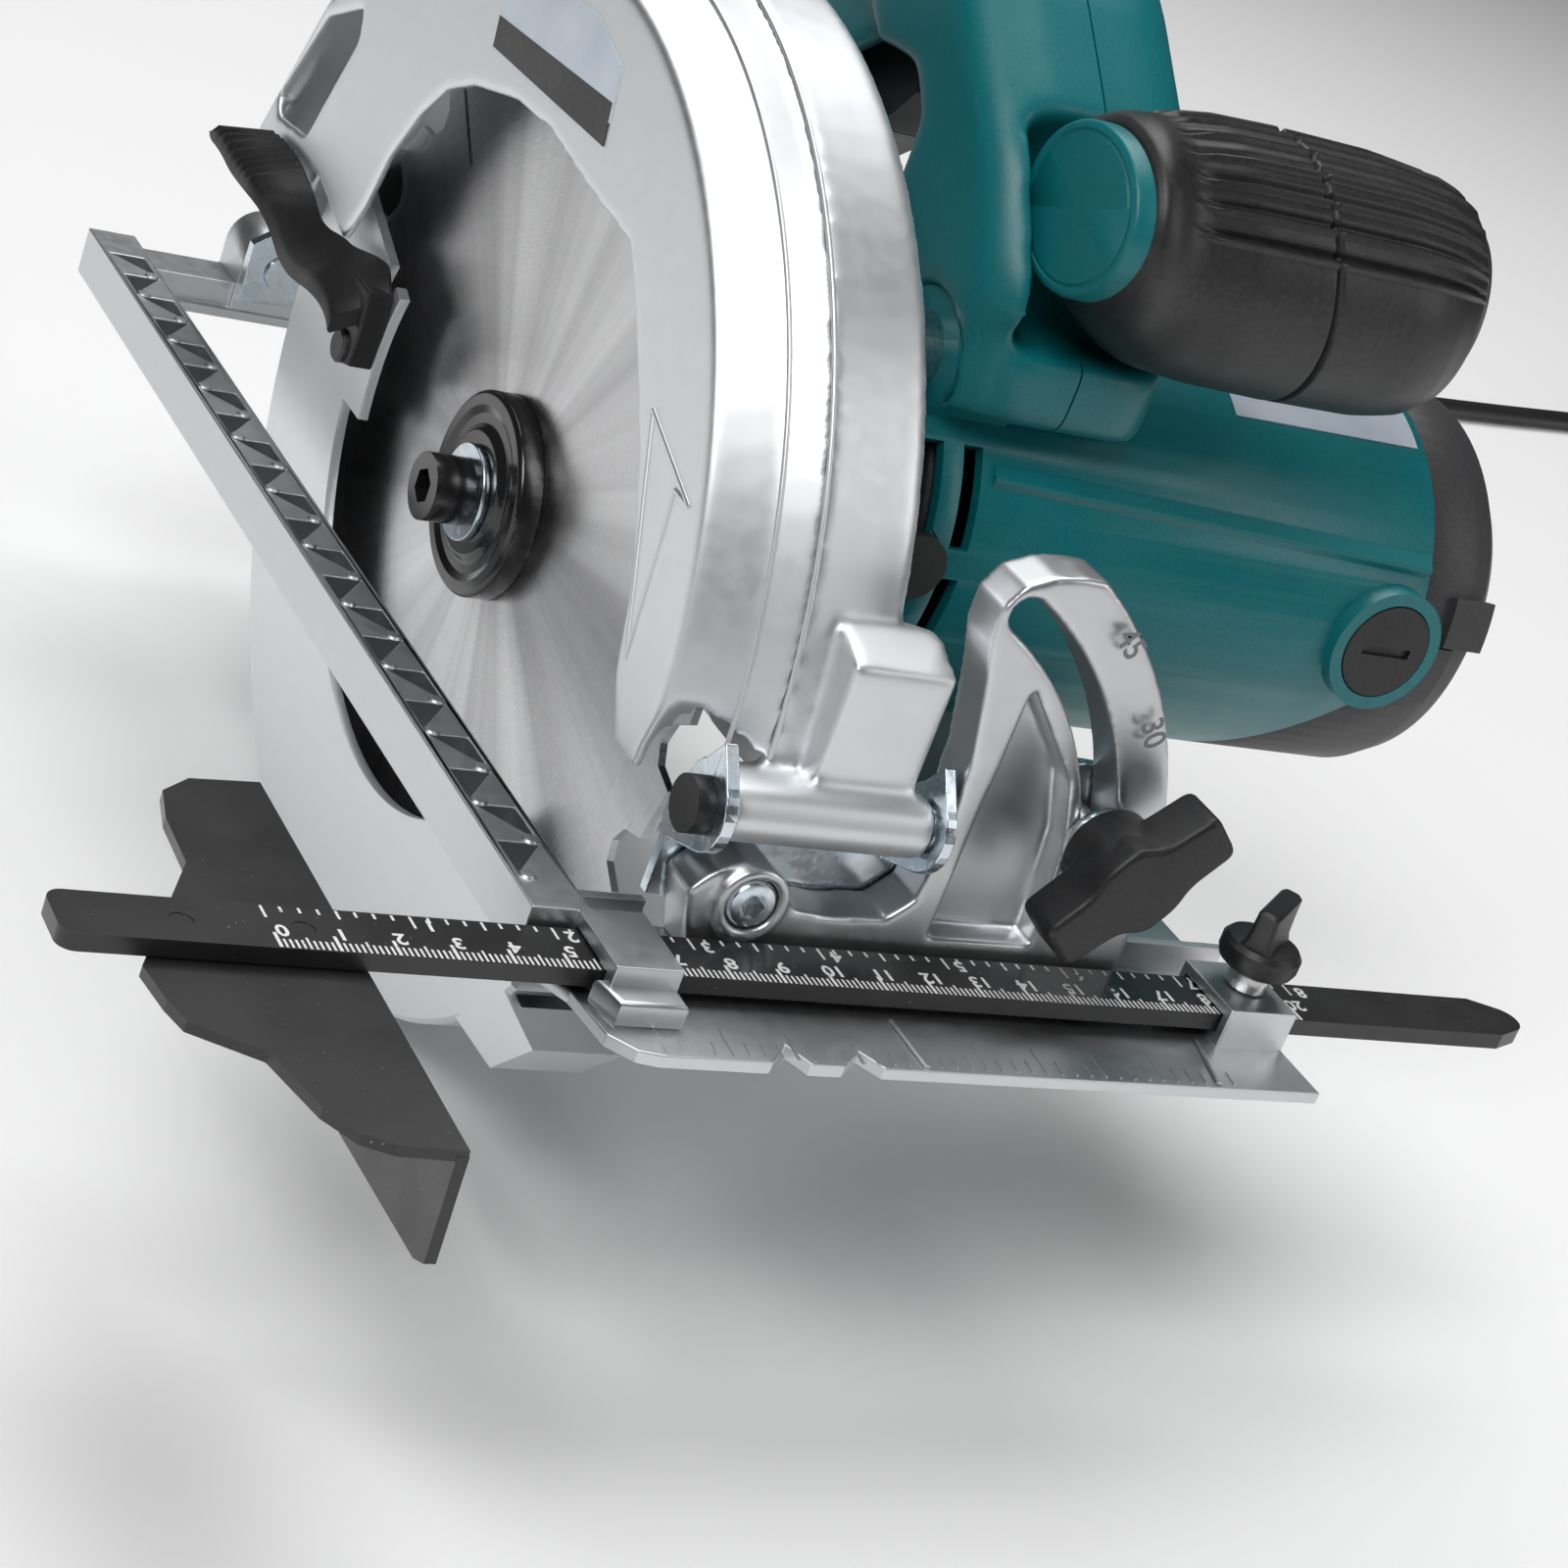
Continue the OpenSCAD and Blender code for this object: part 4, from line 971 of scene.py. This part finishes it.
def make_motor_parts():
    make_ridge()
    label = blank_label()
    make_guard_label(label)
    motor_patch("motor_plate", 124.5, 171, 78, 121.5, MOTOR_R, label)
    motor_patch("cap_clip", 180, 190, 163, 177, MOTOR_R - 0.5, MATERIALS["grey_plastic"], 2.2)
    motor_patch("cap_clip_rear", 180, 190, 3, 17, MOTOR_R - 0.5, MATERIALS["grey_plastic"], 2.2)
    motor_patch("cap_rib", 176, 184, 178, 196, MOTOR_R - 0.3, MATERIALS["grey_plastic"], 0.9)


# Upper guard: the pressed arrow, its corners as (y, z), and the bead lines

ARROW = [(-87.7, 40.2), (-68.5, 78), (-90.6, 70.4), (-84.4, 70.6)]


def make_guard_details():
    x = -13.35
    tail, apex, tip, notch = ARROW
    for name, run in (
        ("left", (tail, apex)), ("right", (apex, tip)), ("back", (tip, notch)), ("stem", (notch, tail)),
    ):
        line = tube("guard_arrow_" + name, [(x, y, z) for y, z in run], 0.55, "saw_body")
        finish_piece(line, MATERIALS["cast_guard"])
    for name, radius, place in (("guard_bead_inner", 109.2, -2), ("guard_bead_outer", 113.25, 4.2)):
        ring = []
        for k in range(97):
            a = math.radians(18 + (176 - 18) * k / 96)
            ring.append((place, radius * math.cos(a), AXLE_Z + radius * math.sin(a)))
        finish_piece(tube(name, ring, 0.5, "saw_body"), MATERIALS["cast_guard"])


# Base: shallow ticks and two ridges on the front lip, the guide's clip step and nodes where the ribs meet

LIP_RIDGES = (((30.4, -136.8), (30.4, -150.6)), ((95.6, -136.8), (92, -150.6)))


def make_base_details():
    edge = -150.6
    marks = []
    for k in range(38):
        x = -19 + 3.1 * k
        end = edge + (8 if k % 4 == 0 else 4.5)
        marks.append([(x - 0.4, edge), (x + 0.4, edge), (x + 0.8, end), (x + 0.2, end)])
    lip = flat_marks("lip_ticks", marks, 2.28, "base", MATERIALS["cast_base"])
    lip.modifiers.new("thick", "SOLIDIFY").thickness = 0.45 * MM
    outline = [(-28, -137), (-13.6, -136.6), (-13.6, -144), (-26, -144)]
    step = pillow("guide_clip_step", outline, 2.1, 7, 0.9, "base", axis="z", steps=4)
    finish_piece(step, MATERIALS["cast_base"])
    for k, (start, end) in enumerate(LIP_RIDGES):
        bar = tube(f"lip_ridge_{k}", [(*start, 2.1), (*end, 2.1)], 0.8, "base", sides=16)
        finish_piece(bar, MATERIALS["cast_base"])
    profile = [(0.01, 10.2), (1.5, 10.2), (1.7, 10.5), (1.3, 10.9), (0.01, 11)]
    for k in range(22):
        x = -29 + (2.6 if k % 2 else -2.6)
        node = lathe_z(f"rail_node_{k}", profile, x, -112 + 12 * k, "base", steps=16)
        finish_piece(node, MATERIALS["cast_base"])


make_handles()
make_grip_plug()
make_front_grip()
make_lever()
make_bevel_knob()
make_guide_knob()
make_pivot_screw()
for cast_node, cast_setup in RECAST.items():
    recast(cast_node, *cast_setup)
make_scales()
make_rivets()
make_quadrant_numerals()
make_motor_parts()
make_guard_details()
make_base_details()

# Every CAD node that still shows: its slot's material, and edges softened by 0.3 mm or as listed

BEVELS = {
    "base_plate": 0.5, "front_bracket": 0.4, "guide_bar": 0.6, "guide_fence": 0.35, "lower_guard": 0.6,
    "motor_housing": 0.8, "end_cap": 0.8, "saw_blade": 0.12, "cord_plug": 1.5,
}


def dress(node):
    """Gives a CAD node its material, and a bevel on its outer edges."""
    obj = NODES[node]
    obj.data.materials.clear()
    obj.data.materials.append(MATERIALS[SLOT_OF[node]])
    weld = obj.modifiers.new("weld", "WELD")
    weld.merge_threshold = 0.01 * MM
    add_bevel(obj, BEVELS.get(node, 0.3))


for name, obj in NODES.items():
    if not obj.hide_render:
        dress(name)

# Floor and light


def make_stage():
    size = 15
    mesh = bpy.data.meshes.new("floor")
    z = FLOOR_Z * MM - 0.001
    corners = [(-size, -size, z), (size, -size, z), (size, size, z), (-size, size, z)]
    mesh.from_pydata(corners, [], [(0, 1, 2, 3)])
    floor = bpy.data.objects.new("floor", mesh)
    bpy.context.scene.collection.objects.link(floor)
    s = Shader("floor", (0.96, 0.96, 0.96), 0.9)
    s.bsdf.inputs["Specular IOR Level"].default_value = 0.1
    mesh.materials.append(s.mat)


def area_light(name, place, target, size, power):
    data = bpy.data.lights.new(name, "AREA")
    data.shape = "RECTANGLE"
    data.size, data.size_y = size
    data.energy = power
    lamp = bpy.data.objects.new(name, data)
    bpy.context.scene.collection.objects.link(lamp)
    lamp.location = place
    lamp.rotation_euler = (Vector(target) - Vector(place)).to_track_quat("-Z", "Y").to_euler()


def make_lights():
    world = bpy.data.worlds.new("world")
    bpy.context.scene.world = world
    world.use_nodes = True
    nodes, links = world.node_tree.nodes, world.node_tree.links
    split = nodes.new("ShaderNodeSeparateXYZ")
    links.new(nodes.new("ShaderNodeTexCoord").outputs["Generated"], split.inputs[0])
    fade = nodes.new("ShaderNodeMapRange")
    for key, value in (("From Min", -0.1), ("From Max", 0.9), ("To Min", 0.7), ("To Max", 1.05)):
        fade.inputs[key].default_value = value
    links.new(split.outputs["Z"], fade.inputs["Value"])
    links.new(fade.outputs["Result"], nodes["Background"].inputs["Strength"])
    bpy.context.scene.view_settings.view_transform = "Standard"
    target = at(20, -20, 60)
    area_light("key", (-1.1, -0.9, 1.5), target, (1.0, 1.0), 22)
    area_light("fill", (1.5, -1.2, 0.9), target, (0.8, 1.5), 8)
    area_light("top", (0.2, 0.7, 1.9), target, (1.6, 1.6), 30)


make_stage()
make_lights()
